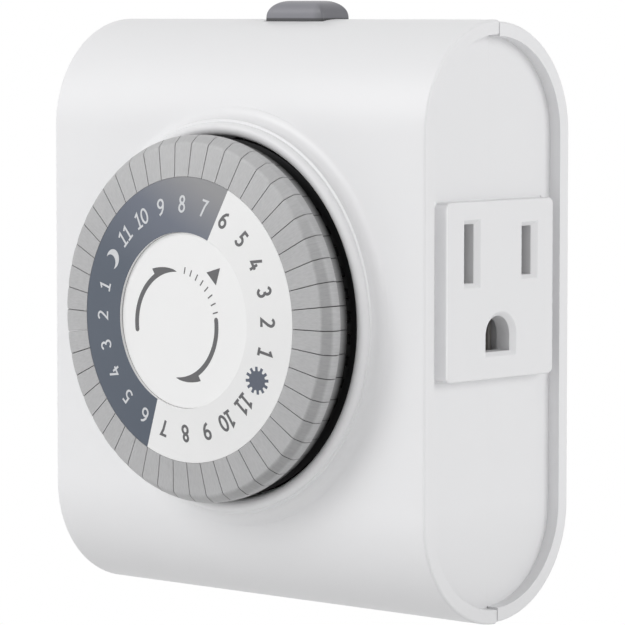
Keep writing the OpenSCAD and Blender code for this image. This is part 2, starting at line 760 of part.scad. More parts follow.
module motor_pinion() {
    color(BRASS) at_xz([motor_shaft_x, motor_shaft_z]) {
        // turned so that a tooth gap meets the wheel's tooth
        rotate([0, motor_pinion_phase(), 0])
            slab_y(motor_pinion_y, motor_pinion_y + motor_pinion_t) gear_outline(pinion_teeth);
        rod_y(motor_pinion_y - 0.6, plate_back_y + 3, pinion_axle_r);
    }
}
// Angle of the second gear that puts it in mesh with the first, which stands at first_phase, where
// line is the angle, clockwise from the top, of the line from the first centre to the second
function meshed(line, first_phase, first_teeth, second_teeth) =
    line + 180 + 180 / second_teeth - (first_phase - line) * first_teeth / second_teeth;
function wheel_phase() = meshed(wheel_angle, 0, dial_teeth, pinion_teeth);
function motor_pinion_phase() =
    meshed(atan2(motor_shaft_x - wheel_x, motor_shaft_z - wheel_z), wheel_phase(), wheel_teeth, pinion_teeth);
module reduction_gear() {
    color(NATURAL) at_xz([wheel_x, wheel_z]) difference() {
        rotate([0, wheel_phase(), 0]) {
            slab_y(pinion_y, wheel_y + 0.5) gear_outline(pinion_teeth);
            slab_y(wheel_y, wheel_y + wheel_t) gear_outline(wheel_teeth);
            rod_y(wheel_y, plate_y - 0.2, 2.4);
        }
        rod_y(pinion_y - 1, plate_y + 1, pinion_axle_r + run_gap);
    }
}
module reduction_axle() {
    color(STEEL) at_xz([wheel_x, wheel_z]) rod_y(well_y + 0.9, plate_back_y, pinion_axle_r);
}
// Small pan-head screw with its head's underside at y
module small_screw(y, l) {
    rod_y(y - l, y + 0.1, small_screw_r - 0.02);
    difference() {
        rod_y(y, y + 1.2, 1.9);
        box([-0.25, y + 0.6, -2], [0.25, y + 2, 2]);
        box([-2, y + 0.6, -0.25], [2, y + 2, 0.25]);
    }
}
module movement_screws() {
    color(STEEL) {
        for (p = posts) at_xz(p) small_screw(plate_back_y, 5.5);
        for (x = [-lug_x, lug_x]) at_xz([x, motor_z]) small_screw(plate_back_y + lug_t, 2.4);
    }
}
module motor_leads() {
    color([0.75, 0.15, 0.12]) {
        translate([-bar_mid_x, lead_y, lead_z]) cylinder(h = slot_z - bar_h / 2 - lead_z, r = 0.6);
        translate([bar_mid_x, lead_y, lead_z]) cylinder(h = bar_line_z - lead_z, r = 0.6);
    }
}

// Switch -------------------------------------------------------------------

module switch_lever() {
    color(NATURAL) {
        difference() {
            union() {
                box([-2, lever_y, nose_z - 1.4], [2, lever_y + lever_t, pivot_z]);
                translate([0, pivot_y, pivot_z]) rod_x(-2.5, 2.5, 1.6);
                // nub that pushes the leaf
                box([-1, lever_y + lever_t - 0.2, nub_z - 0.6], [1, leaf_y - 0.1, nub_z + 0.6]);
                rotate([0, nose_angle, 0]) {
                    box([-0.6, nose_tip_y + 0.6, nose_r - 1.2], [0.6, lever_y + 0.5, nose_r + 1.2]);
                    translate([0, nose_tip_y + 0.6, nose_r - 1.2]) cylinder(h = 2.4, r = 0.6);
                }
            }
            translate([0, pivot_y, pivot_z]) rod_x(-3, 3, pivot_r + run_gap);
        }
    }
}
module lever_pin() {
    color(STEEL) translate([0, pivot_y, pivot_z]) rod_x(-4.6, 4.6, pivot_r);
}
module moving_contact() {
    color(BRASS) {
        box([-leaf_w / 2, leaf_y, leaf_root_z + 0.1], [leaf_w / 2, leaf_y + leaf_t, leaf_top_z]);
        translate([0, 0, contact_z]) rod_y(leaf_y + leaf_t - 0.1, contact_y, 1.2);
    }
}
module fixed_contact() {
    color(BRASS) {
        box([-3, fixed_y, riser_z], [3, fixed_y + 0.6, leaf_top_z]);
        translate([0, 0, contact_z]) rod_y(fixed_y - 0.6, fixed_y + 0.1, 1.4);
    }
}
module contact_base() {
    color(NATURAL) difference() {
        union() {
            box([-base_half_w, base_y, bar_line_z - 1],
                [base_half_w, leaf_y + leaf_t + 1.3, leaf_root_z]);
            box([-base_back_half_w, leaf_y, bar_line_z - 1],
                [base_back_half_w, fixed_y + 0.6, leaf_root_z]);
            box([-base_back_half_w, leaf_y + leaf_t + 0.6, leaf_root_z - 1],
                [base_back_half_w, fixed_y + 0.6, riser_z]);
        }
        for (p = base_posts) at_xz(p) rod_y(base_y - 1, fixed_y + 2, small_screw_r + 0.35);
        // seat of the line bar's cross arm and leaf tab
        box([-3, leaf_y - 0.01, bar_line_z], [bar_out_x, leaf_y + leaf_t + 0.01, bar_line_top]);
        box([-leaf_w / 2, leaf_y - 0.01, bar_line_z], [leaf_w / 2, leaf_y + leaf_t + 0.01, leaf_root_z + 1]);
        // way for the line bar's forward arm
        box([blade_out_x, leaf_y, bar_line_z], [bar_out_x, fixed_y + 2, bar_line_top]);
    }
}

// Override -----------------------------------------------------------------

module override_button() {
    top = button_top - button_round;
    color(DARK_GREY) {
        // body with two rounded upper ends
        box([button_x - button_w / 2, seam_y - button_d / 2, flange_z],
            [button_x + button_w / 2, seam_y + button_d / 2, top]);
        box([button_x - button_w / 2 + button_round, seam_y - button_d / 2, top - 0.5],
            [button_x + button_w / 2 - button_round, seam_y + button_d / 2, button_top]);
        for (s = [-1, 1])
            translate([button_x + s * (button_w / 2 - button_round), seam_y - button_d / 2, top])
                rotate([-90, 0, 0]) cylinder(h = button_d, r = button_round);
        box([button_x - button_w / 2 - button_lip_x, seam_y - button_d / 2 - button_lip_y, flange_z],
            [button_x + button_w / 2 + button_lip_x, seam_y + button_d / 2 + button_lip_y,
                flange_z + button_flange_h]);
        box([button_x - stem_r, seam_y - stem_r, bridge_z + bridge_t],
            [button_x + stem_r, seam_y + stem_r, flange_z + 0.5]);
    }
}
module bridge_contact() {
    color(BRASS)
        box([-bridge_x, seam_y - stem_r, bridge_z], [bar_out_x, seam_y + stem_r, bridge_z + bridge_t]);
}
// Round-wire coil about the stem, as one swept tube
module button_spring() {
    wire_r = 0.25;
    coil_r = 2.75;
    turns = 5;
    sides = 8;
    per_turn = 20;
    rings = turns * per_turn;
    low = shelf_z + wire_r + 0.02;
    rise = flange_z - shelf_z - 2 * wire_r - 0.04;
    points = [for (i = [0:rings]) for (k = [0:sides - 1])
        let (a = 360 * i / per_turn, b = 360 * k / sides, r = coil_r + wire_r * cos(b))
        [button_x + r * cos(a), seam_y + r * sin(a), low + rise * i / rings + wire_r * sin(b)]];
    walls = [for (i = [0:rings - 1]) for (k = [0:sides - 1]) let (n = (k + 1) % sides)
        [i * sides + k, i * sides + n, (i + 1) * sides + n, (i + 1) * sides + k]];
    color(STEEL) polyhedron(points, concat([[for (k = [sides - 1:-1:0]) k]], walls,
        [[for (k = [0:sides - 1]) rings * sides + k]]));
}
module override_terminals() {
    color(BRASS) {
        box([-bridge_x, fixed_y, riser_top - brass_t], [3 - bridge_x, seam_y + brass_t / 2, riser_top]);
        box([-bridge_x, seam_y - brass_t / 2, riser_top - brass_t],
            [3 - bridge_x, seam_y + brass_t / 2, terminal_z]);
        box([blade_out_x, seam_y - stem_r, bar_line_top], [bar_out_x, seam_y + stem_r, terminal_z]);
    }
}

// Plug and bars ------------------------------------------------------------

module blade(s) {
    color(BRASS) difference() {
        union() {
            // flat blade with its two tip corners cut off
            translate([0, 0, blade_z]) slab_x(s * blade_dx - blade_t / 2, s * blade_dx + blade_t / 2)
                polygon([[root_y, -blade_w / 2], [blade_l - 1, -blade_w / 2], [blade_l, -blade_w / 2 + 1],
                    [blade_l, blade_w / 2 - 1], [blade_l - 1, blade_w / 2], [root_y, blade_w / 2]]);
            // stop behind the rear wall
            box([s * blade_dx - blade_t / 2, -wall_t - stop_t, blade_z - blade_w / 2 - 1.2],
                [s * blade_dx + blade_t / 2, -wall_t, blade_z + blade_w / 2 + 1.2]);
        }
        translate([0, blade_l - 3.6, blade_z]) rod_x(-blade_dx - 3, blade_dx + 3, 1.6);
    }
}
module line_blade() { blade(1); }
module neutral_blade() { blade(-1); }
module ground_pin() {
    stop_r = ground_r + 1.2;
    color(BRASS) translate([0, 0, pin_z]) turned() polygon([[0, root_y], [shank_r, root_y],
        [shank_r, -wall_t - stop_t], [stop_r, -wall_t - stop_t], [stop_r, -wall_t], [shank_r, -wall_t],
        [shank_r, 0], [ground_r, 0], [ground_r, ground_l - 1.6], [ground_r - 0.5, ground_l - 0.6],
        [ground_r - 1.3, ground_l], [0, ground_l]]);
}

module neutral_bar() {
    low = slot_z - bar_h / 2;
    high = slot_z + bar_h / 2;
    half = brass_t / 2;
    color(BRASS) {
        clip(near_y, slot_z, blade_t + 0.1);
        other_side() clip(near_y, slot_z, blade_t + 0.1);
        box([-clip_in_x, far_y - half, low], [-blade_out_x, far_y + half, high]);
        box([-bar_out_x, near_y - half, low], [-blade_out_x, far_y + half, high]);
        box([-bar_out_x, near_y - half, low], [clip_in_x - 0.1, near_y + half, high]);
    }
}
module line_bar() {
    color(BRASS) {
        box([blade_out_x, root_y, slot_z - bar_h / 2], [bar_out_x, root_y + bar_lap, bar_line_top]);
        box([blade_out_x, leaf_y, bar_line_z], [bar_out_x, root_y + bar_lap, bar_line_top]);
        box([-3, leaf_y, bar_line_z], [bar_out_x, leaf_y + leaf_t, bar_line_top]);
        box([-leaf_w / 2, leaf_y, bar_line_z], [leaf_w / 2, leaf_y + leaf_t, leaf_root_z]);
    }
}
module load_bar() {
    low = slot_z - bar_h / 2;
    cross_y = fixed_y - brass_t;
    color(BRASS) {
        clip(far_y, slot_z, blade_t + 0.1);
        other_side() clip(far_y, slot_z, blade_t + 0.1);
        // right riser and top arm
        box([clip_in_x - brass_t, far_y - 2, low], [clip_in_x, far_y + 2, riser_top]);
        box([clip_in_x - brass_t, cross_y, riser_z], [clip_in_x, far_y + 2, riser_top]);
        // cross arm and left riser
        box([-clip_in_x, cross_y, riser_z], [clip_in_x, fixed_y, riser_top]);
        box([-clip_in_x, near_y - 2, low], [brass_t - clip_in_x, fixed_y, riser_top]);
    }
}
module ground_bar() {
    low = ground_z - 2.3;
    half = brass_t / 2;
    gap = ground_d - 0.16;
    color(BRASS) {
        clip(seam_y, ground_z, gap);
        other_side() clip(seam_y, ground_z, gap);
        box([-clip_in_x, seam_y - half, low], [clip_in_x, seam_y + half, low + 4.6]);
        box([-2, seam_y, low], [2, root_y, low + brass_t]);
    }
}
module housing_screws() {
    color(STEEL) boss_pairs() difference() {
        union() {
            rod_y(seam_y - 6, head_y, screw_d / 2 - 0.02);
            rod_y(head_y, head_y + 1.8, head_r);
        }
        // cross recess
        box([-0.4, head_y + 0.9, -head_r + 0.8], [0.4, 1, head_r - 0.8]);
        box([-head_r + 0.8, head_y + 0.9, -0.4], [head_r - 0.8, 1, 0.4]);
    }
}

front_housing();
rear_housing();
outlet_block_right();
outlet_block_left();
dial_carrier();
dial_gear();
clutch_washer();
dial_label();
center_cap();
dial_axle();
retaining_clip();
movement_plate();
timer_motor();
motor_pinion();
reduction_gear();
reduction_axle();
movement_screws();
motor_leads();
switch_lever();
lever_pin();
moving_contact();
fixed_contact();
contact_base();
override_button();
bridge_contact();
button_spring();
override_terminals();
line_blade();
neutral_blade();
ground_pin();
line_bar();
load_bar();
neutral_bar();
ground_bar();
housing_screws();
for (i = [0:tab_count / 2 - 1]) tab_pair(i);
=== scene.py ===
"""Looks of the plug-in timer switch: finishes, print, softened edges, light and camera.

Every length is in metres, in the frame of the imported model: X to the right outlet, the dial looks
to -Y, the plug points to +Y, Z is up, and the origin is the centre of the rear face.
"""
import json
import math

import bmesh
import bpy
from mathutils import Matrix, Vector


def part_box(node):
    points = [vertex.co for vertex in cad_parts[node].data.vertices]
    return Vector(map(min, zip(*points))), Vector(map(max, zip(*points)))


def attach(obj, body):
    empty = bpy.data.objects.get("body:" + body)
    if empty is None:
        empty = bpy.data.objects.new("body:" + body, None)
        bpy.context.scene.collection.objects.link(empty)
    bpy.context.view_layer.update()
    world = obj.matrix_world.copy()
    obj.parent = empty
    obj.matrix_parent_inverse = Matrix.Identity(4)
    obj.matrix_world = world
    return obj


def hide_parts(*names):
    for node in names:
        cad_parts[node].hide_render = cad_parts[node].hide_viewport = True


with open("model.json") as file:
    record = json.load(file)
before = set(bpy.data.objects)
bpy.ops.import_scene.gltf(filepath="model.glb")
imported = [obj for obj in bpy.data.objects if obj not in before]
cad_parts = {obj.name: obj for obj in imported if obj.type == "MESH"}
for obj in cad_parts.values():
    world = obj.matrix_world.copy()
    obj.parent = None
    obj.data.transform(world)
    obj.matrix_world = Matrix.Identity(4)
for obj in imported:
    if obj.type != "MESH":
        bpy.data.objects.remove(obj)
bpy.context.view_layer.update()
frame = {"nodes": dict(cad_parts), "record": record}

MM = 0.001
NODES = frame["nodes"]

# Camera -----------------------------------------------------------------------
CAMERA_SPOT = Vector((393.684, -445.045, 44.487)) * MM
CAMERA_TILT = math.radians(85.598)
CAMERA_TURN = math.radians(42.45)
CAMERA_LENS = 226.34
SENSOR_WIDTH = 36

# Lamps, each with its place, its side in metres and its power in watts ------------
WORLD_LEVEL = 0.453
LAMP_TARGET = Vector((0, -0.02, 0))
LAMPS = [
    ("key", (-0.55, -1.1, 0.75), 0.7, 8.55),
    ("side", (1.2, 0.35, 0.35), 0.8, 6.45),
    ("front fill", (0, -1.4, 0.15), 1.0, 1.8),
    ("low left fill", (-0.9, -1.0, 0), 0.7, 0.77),
    ("right top fill", (0.8, -0.2, 1.1), 0.8, 0.43),
    ("front top fill", (-0.15, -0.8, 1.15), 0.8, 0.36),
]

# Places taken from the frame ----------------------------------------------------
shell_low, shell_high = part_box("front_housing")
label_low, label_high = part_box("dial_label")
cap_low, cap_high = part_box("center_cap")
button_low, button_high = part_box("override_button")
outlet_low, outlet_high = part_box("outlet_block_right")
tab_low, tab_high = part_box("tab_pair_01")

SIDE_X = shell_high.x
FACE_X = outlet_high.x
LABEL_R = label_high.x
LABEL_TOP_Y = label_low.y
CAP_R = cap_high.x
CAP_Y = cap_low.y
RING_Y = tab_low.y
SEAM_Y = (outlet_low.y + outlet_high.y) / 2
LABEL_HOLE_R = min(math.hypot(v.co.x, v.co.z) for v in NODES["dial_label"].data.vertices)
LABEL_T = 0.5 * MM
LABEL_EDGE_Y = label_high.y - LABEL_T
LABEL_SLOPE = (LABEL_EDGE_Y - LABEL_TOP_Y) / (LABEL_R - LABEL_HOLE_R)
STEP_Y = RING_Y + 3.5 * MM
END_R = 16 * MM
BUTTON_X = (button_low.x + button_high.x) / 2
BUTTON_HALF_W = 5.7 * MM
BUTTON_HALF_D = 3 * MM
OUTLET_Z = (outlet_low.z + outlet_high.z) / 2
FLOOR_X = SIDE_X - 1.9 * MM
RING_R = 26.6 * MM
TAB_BACK_Y = RING_Y + 5.4 * MM
COLLAR_R = 26.4 * MM
FRONT_FACE_Y = -32 * MM
FLOOR_Z = shell_low.z - 60 * MM
SLOT_HALF_PITCH = 6.35 * MM

# Tabs, in degrees about the dial: their pitch, and the groove between two of them
TAB_PITCH = 7.5
TAB_GROOVE = 0.28
TAB_CAD_GAP = 0.55

# Dial print: the hours run anticlockwise, and angles are clockwise from the top
FIRST_EDGE = 23.3
FIRST_TAB = 23.1
HOUR_STEP = 15
HOUR_SHIFT = 5.6
HOUR_R = 16.55 * MM
DIGIT_H = 2.55 * MM
PRINT_T = 0.03 * MM
PRINT_SHIFT = Vector((-0.17, 0, 0.2)) * MM
ARROW_CENTRE = Vector((-1.65, 0, -0.7)) * MM

# Colours, as the surface's own linear values ------------------------------------
SHELL_WHITE = (0.80, 0.80, 0.81, 1)
OUTLET_WHITE = (0.79, 0.79, 0.80, 1)
TAB_GREY = (0.42, 0.42, 0.425, 1)
NIGHT_BLUE = (0.064, 0.082, 0.113, 1)
LABEL_WHITE = (0.80, 0.80, 0.80, 1)
INK_GREY = (0.11, 0.11, 0.115, 1)
INK_WHITE = (0.60, 0.61, 0.63, 1)
INK_SUN = (0.095, 0.11, 0.145, 1)
BODY_BLACK = (0.012, 0.012, 0.013, 1)
BUTTON_GREY = (0.212, 0.212, 0.235, 1)
DISC_WHITE = (0.83, 0.83, 0.83, 1)
# Colours of painted light and shade: PALE, also the floor's own colour, is painted light on the tabs;
# SHADE_BLACK and NEAR_BLACK are painted shade
PALE = (0.8, 0.8, 0.8, 1)
SHADE_BLACK = (0.05, 0.05, 0.05, 1)
NEAR_BLACK = (0.02, 0.02, 0.02, 1)


# Shader maths -------------------------------------------------------------------
class Value:
    """One socket of a node tree, so that shader maths reads as a Python expression."""

    def __init__(self, nodes, socket):
        self.nodes = nodes
        self.socket = socket

    def maths(self, operation, *inputs):
        return self.nodes.node("ShaderNodeMath", {"operation": operation}, dict(enumerate(inputs)))

    def __add__(self, other):
        return self.maths("ADD", self, other)

    def __sub__(self, other):
        return self.maths("SUBTRACT", self, other)

    def __rsub__(self, other):
        return self.maths("SUBTRACT", other, self)

    def __mul__(self, other):
        return self.maths("MULTIPLY", self, other)

    def __truediv__(self, other):
        return self.maths("DIVIDE", self, other)

    def __pow__(self, other):
        return self.maths("POWER", self, other)

    def __gt__(self, other):
        return self.maths("GREATER_THAN", self, other)

    def __lt__(self, other):
        return self.maths("LESS_THAN", self, other)

    __radd__ = __add__
    __rmul__ = __mul__


class Nodes:
    """A node tree, built node by node."""

    def __init__(self, owner):
        owner.use_nodes = True
        self.tree = owner.node_tree

    def feed(self, socket, value):
        if isinstance(value, Value):
            self.tree.links.new(value.socket, socket)
        else:
            socket.default_value = value

    def node(self, kind, settings=None, inputs=None, output=0):
        """Adds a node: its settings first, then its sockets' values or links."""
        made = self.tree.nodes.new(kind)
        for name, value in (settings or {}).items():
            if name == "stops":
                set_stops(made.color_ramp, value)
            else:
                setattr(made, name, value)
        for key, value in (inputs or {}).items():
            self.feed(made.inputs[key], value)
        return Value(self, made.outputs[output])

    def backdrop(self):
        """One to the camera, in reflections and through glass; nought for all other light."""
        seen, glossy, through = (self.node("ShaderNodeLightPath", output=f"Is {kind} Ray")
                                 for kind in ("Camera", "Glossy", "Transmission"))
        either = seen.maths("MAXIMUM", seen, glossy)
        return either.maths("MAXIMUM", either, through)


class Finish(Nodes):
    """A material with one Principled shader."""

    def __init__(self, name, **constants):
        self.material = bpy.data.materials.new(name)
        super().__init__(self.material)
        self.shader = self.tree.nodes["Principled BSDF"]
        self.set(**constants)
        self.object = self.node("ShaderNodeTexCoord", output="Object")

    def set(self, **inputs):
        """Sets the shader's own sockets; an underscore in a name stands for a space."""
        for key, value in inputs.items():
            self.feed(self.shader.inputs[key.replace("_", " ")], value)

    def noise(self, size, detail=2, vector=None, roughness=0.5):
        """Noise from 0 to 1 whose features are about size metres across."""
        return self.node("ShaderNodeTexNoise", inputs={"Vector": vector or self.object, "Scale": 1 / size,
            "Detail": detail, "Roughness": roughness}, output="Fac")

    def span(self, value, start, end, low=0, high=1):
        """A value taken from start..end to low..high and held there outside."""
        return self.node("ShaderNodeMapRange", inputs={"Value": value, "From Min": start, "From Max": end,
            "To Min": low, "To Max": high})

    def axis(self, name, vector=None):
        return self.node("ShaderNodeSeparateXYZ", inputs={"Vector": vector or self.object}, output=name)

    def ramp(self, factor, stops):
        return self.node("ShaderNodeValToRGB", {"stops": stops}, {"Fac": factor}, "Color")

    def mix(self, factor, a, b):
        return self.node("ShaderNodeMix", {"data_type": "RGBA"}, {"Factor": factor, 6: a, 7: b}, 2)

    def bump(self, height, depth, strength=1.0):
        """Relief of depth metres for a height from 0 to 1."""
        self.set(Normal=self.node("ShaderNodeBump",
            inputs={"Strength": strength, "Distance": depth, "Height": height}))

    def polar(self):
        """The point's radius from the dial's axis and its angle round it."""
        x, z = self.axis("X"), self.axis("Z")
        return (x * x + z * z) ** 0.5, x.maths("ARCTAN2", x, z)


def set_stops(ramp, stops):
    while len(ramp.elements) > 2:
        ramp.elements.remove(ramp.elements[-1])
    for element, (place, colour) in zip(ramp.elements, stops):
        element.position = place
        element.color = colour
    for place, colour in stops[2:]:
        ramp.elements.new(place).color = colour


def shade(colour, factor):
    """The same colour, lighter or darker."""
    return (*(min(1.0, c * factor) for c in colour[:3]), 1)


# Finishes -----------------------------------------------------------------------
def moulded(name, colour, roughness, grain=0.25 * MM, depth=0.002 * MM, drift=0.012, **constants):
    """Injection-moulded plastic: a fine spark-eroded grain, and faint drifts of tone and gloss."""
    f = Finish(name, **constants)
    cloud = f.noise(14 * MM, 3)
    speck = f.noise(grain, 2)
    f.set(Base_Color=f.mix(cloud, shade(colour, 1 - drift), shade(colour, 1 + drift)),
          Roughness=roughness - 0.03 + cloud * 0.04 + speck * 0.03)
    f.bump(speck, depth)
    return f


def white_shell():
    """White plastic, with painted shadow on the collar's crest at the right and painted shade underneath.
    """
    f = moulded("white moulded shell", SHELL_WHITE, 0.38, IOR=1.46)
    radius, _ = f.polar()
    # Painted shadow of the dial on the collar's crest, on the right only
    crest = f.span((radius - COLLAR_R - 1 * MM).maths("ABSOLUTE"), 0.6 * MM, 0.15 * MM, 0, 0.38)
    right = f.span(f.axis("X") / radius, 0.1, 0.8)
    in_front = f.axis("Y") < FRONT_FACE_Y - 0.4 * MM
    # Painted shade on the underside
    under = f.span(f.axis("Z"), -26 * MM, -41 * MM, 0, 0.11)
    f.set(Base_Color=f.mix(under, f.mix(crest * right * in_front, SHELL_WHITE, SHADE_BLACK),
        SHADE_BLACK))
    return f.material


def white_outlet():
    """White plastic whose slots are painted with shade that deepens with their depth, the ground hole less
    so.
    """
    f = moulded("white outlet plastic", OUTLET_WHITE, 0.42, drift=0.01, IOR=1.46)
    across = (f.axis("Y") - SEAM_Y).maths("ABSOLUTE") < 9.5 * MM
    along = (f.axis("Z") - OUTLET_Z).maths("ABSOLUTE") < 11.2 * MM
    depth = FACE_X - f.axis("X").maths("ABSOLUTE")
    # Painted shade that deepens into the slots, and less into the ground hole
    grey = f.ramp(depth / (4 * MM), [(0.125, OUTLET_WHITE), (0.65, (0.10, 0.10, 0.105, 1)),
        (0.19, (0.34, 0.34, 0.345, 1))])
    hole = f.ramp(depth / (4 * MM), [(0.125, OUTLET_WHITE), (0.95, (0.42, 0.42, 0.425, 1)),
        (0.19, (0.44, 0.44, 0.445, 1))])
    low = f.axis("Z") < OUTLET_Z - 1 * MM
    # Painted light on the block's front wall, lifting it out of its shade
    front_wall_painted_light = f.axis("Y") < SEAM_Y - 11.55 * MM
    f.set(Base_Color=f.mix(front_wall_painted_light, f.mix(across * along, OUTLET_WHITE, f.mix(low, grey, hole)),
        (0.95, 0.95, 0.96, 1)))
    return f.material


def tab_plastic():
    """Grey tabs with the fine radial lines of their mould, and painted shade towards the gap round the
    dial.

    Painted shade on the bevel and a painted highlight on its edge are put on at the lower right;
    painted light lifts the upper tabs.
    """
    f = Finish("grey tab plastic", IOR=1.46)
    radius, angle = f.polar()
    place = f.node("ShaderNodeCombineXYZ",
        inputs={"X": angle * 14, "Y": radius * 120, "Z": f.axis("Y") * 60})
    streak = f.noise(1 / 9, 3, place, 0.6)
    cloud = f.noise(5 * MM, 2)
    plain = f.mix(streak * 0.75 + cloud * 0.25, shade(TAB_GREY, 0.76), shade(TAB_GREY, 1.24))
    # Painted shade on the bevel, at the lower right only
    bevel = (f.span(radius, RING_R - 1.35 * MM, RING_R - 1.0 * MM)
             * f.span(f.axis("Y"), RING_Y + 2.15 * MM, RING_Y + 1.8 * MM))
    # Painted highlight along the bevel's edge
    edge_highlight = f.span((f.axis("Y") - RING_Y - 2.25 * MM).maths("ABSOLUTE"), 0.3 * MM, 0.1 * MM, 0, 0.14)
    # Painted light on the upper tabs
    high = f.span(f.axis("Z"), 12 * MM, 25 * MM, 0, 0.13)
    plain = f.mix(high, plain, PALE)
    lower_right = f.span((0.94 * f.axis("X") - 0.34 * f.axis("Z")) / radius, 0.45, 0.8, 0.15, 1)
    shaded = f.mix(bevel * lower_right * 0.24, plain, NEAR_BLACK)
    tone = f.mix(edge_highlight * lower_right, shaded, PALE)
    # Painted shade that deepens to black towards the gap round the dial
    depth = f.span(f.axis("Y"), STEP_Y - 0.2 * MM, TAB_BACK_Y - 0.2 * MM)
    f.set(Base_Color=f.mix(depth, tone, NEAR_BLACK), Roughness=0.44 + streak * 0.12)
    f.bump(streak, 0.012 * MM, 0.6)
    return f.material


def tab_gap():
    """The dull floor of the groove between two tabs, uneven in tone, with painted shade deepening with
    depth.
    """
    f = Finish("groove between tabs", Roughness=0.8)
    radius, _ = f.polar()
    cloud = f.noise(7 * MM, 2)
    # Painted shade that deepens to black with depth
    depth = f.span(f.axis("Y"), STEP_Y - 0.5 * MM, TAB_BACK_Y - 1.2 * MM)
    outer = f.span(radius, LABEL_R + 0.6 * MM, LABEL_R + 3 * MM, 0.1, 0.75)
    plain = f.mix(outer * 0.6 + cloud * 0.4, (0.03, 0.03, 0.03, 1), (0.36, 0.36, 0.36, 1))
    f.set(Base_Color=f.mix(depth, plain, (0.01, 0.01, 0.01, 1)))
    f.bump(cloud, 0.002 * MM)
    return f.material


def label_print(name, colour, roughness):
    """Satin printed film: a very slight orange peel and a drift in its gloss."""
    f = Finish(name, IOR=1.5)
    peel = f.noise(0.5 * MM, 2)
    cloud = f.noise(9 * MM, 2)
    f.set(Base_Color=f.mix(cloud, shade(colour, 0.97), shade(colour, 1.03)),
          Roughness=roughness + peel * 0.06)
    f.bump(peel, 0.0015 * MM)
    return f


def night_print():
    """The dark half, with a painted sheen: a little warmer and lighter towards the top of the ring."""
    f = label_print("night half of the label", NIGHT_BLUE, 0.34)
    # Painted reflection, lighter and warmer towards the top of the ring
    tone = f.ramp((f.axis("Z") + f.axis("X") * 0.45 + 10 * MM) / (32 * MM), [(0.375, NIGHT_BLUE),
        (0.97, (0.25, 0.25, 0.258, 1)), (0.72, (0.112, 0.128, 0.168, 1))])
    cloud = f.noise(9 * MM, 2)
    f.set(Base_Color=f.mix(cloud * 0.04, tone, (0.3, 0.3, 0.32, 1)))
    return f.material


def dial_body():
    """Black plastic, painted paler where it comes out from under the tabs, as light that fades into shade.
    """
    f = moulded("black dial body", BODY_BLACK, 0.5)
    radius, _ = f.polar()
    # Painted light near the tabs that falls off into the gap's shade
    f.set(Base_Color=f.ramp(f.span(radius, 23.4 * MM, 25.4 * MM), [(0.15, (0.16, 0.16, 0.16, 1)),
        (0.8, BODY_BLACK), (0.45, (0.06, 0.06, 0.06, 1))]))
    return f.material


def ink(name, colour):
    """Pad-printed ink, a little uneven in its cover."""
    f = Finish(name, IOR=1.48)
    cover = f.noise(0.35 * MM, 3)
    f.set(Base_Color=f.mix(cover, shade(colour, 0.9), shade(colour, 1.1)),
          Roughness=0.4 + cover * 0.1)
    f.bump(cover, 0.001 * MM)
    return f.material


def metal(name, colour, roughness, tarnish, line=0.15 * MM):
    """Rolled sheet: fine lines along one way, clouds where it has dulled, and painted shade inside the
    outlets.
    """
    f = Finish(name, Metallic=1.0)
    stretched = f.node("ShaderNodeMapping", inputs={"Vector": f.object, "Scale": (0.08, 1, 1)})
    lines = f.noise(line, 2, stretched)
    cloud = f.noise(4 * MM, 4)
    # Painted shade inside the outlets: the metal turns to a flat, darker grey there
    inside = f.axis("X").maths("ABSOLUTE") > 26 * MM
    f.set(Base_Color=f.mix(inside * 0.94, f.mix(cloud, colour, tarnish), (0.3, 0.3, 0.305, 1)),
          Metallic=1 - inside, Roughness=roughness + lines * 0.14 + cloud * 0.1)
    f.bump(lines, 0.002 * MM, 0.6)
    return f.material


def laminate():
    """Brown laminated board with its paper's mottle."""
    f = Finish("brown laminate", IOR=1.5)
    mottle = f.noise(0.8 * MM, 5, roughness=0.7)
    f.set(Base_Color=f.ramp(mottle, [(0.3, (0.07, 0.035, 0.018, 1)), (0.7, (0.15, 0.085, 0.045, 1))]),
          Roughness=0.45 + mottle * 0.2)
    f.bump(mottle, 0.004 * MM)
    return f.material


def lead_skin():
    """Red insulation of the motor's leads."""
    f = Finish("red lead insulation", IOR=1.48)
    cloud = f.noise(1.2 * MM, 2)
    f.set(Base_Color=f.mix(cloud, (0.42, 0.02, 0.015, 1), (0.55, 0.035, 0.025, 1)),
          Roughness=0.35 + cloud * 0.1)
    f.bump(cloud, 0.003 * MM)
    return f.material


def button_plastic():
    """Satin grey plastic, painted shade towards its two ends and a painted shadow at its foot in the
    housing.
    """
    f = moulded("grey button plastic", BUTTON_GREY, 0.3, depth=0.003 * MM, IOR=1.5)
    # Painted shade towards the two ends
    end = f.span(f.axis("X") - BUTTON_X, BUTTON_HALF_W - 2 * MM, BUTTON_HALF_W - 0.3 * MM, 0, 0.55)
    # Painted shadow at the foot, where the button meets the housing
    foot = f.span(f.axis("Z"), shell_high.z + 0.24 * MM, shell_high.z + 0.06 * MM, 0, 0.85)
    ends_shaded = f.mix(end, BUTTON_GREY, shade(BUTTON_GREY, 0.4))
    f.set(Base_Color=f.mix(foot, ends_shaded, (0.02, 0.02, 0.022, 1)))
    return f.material


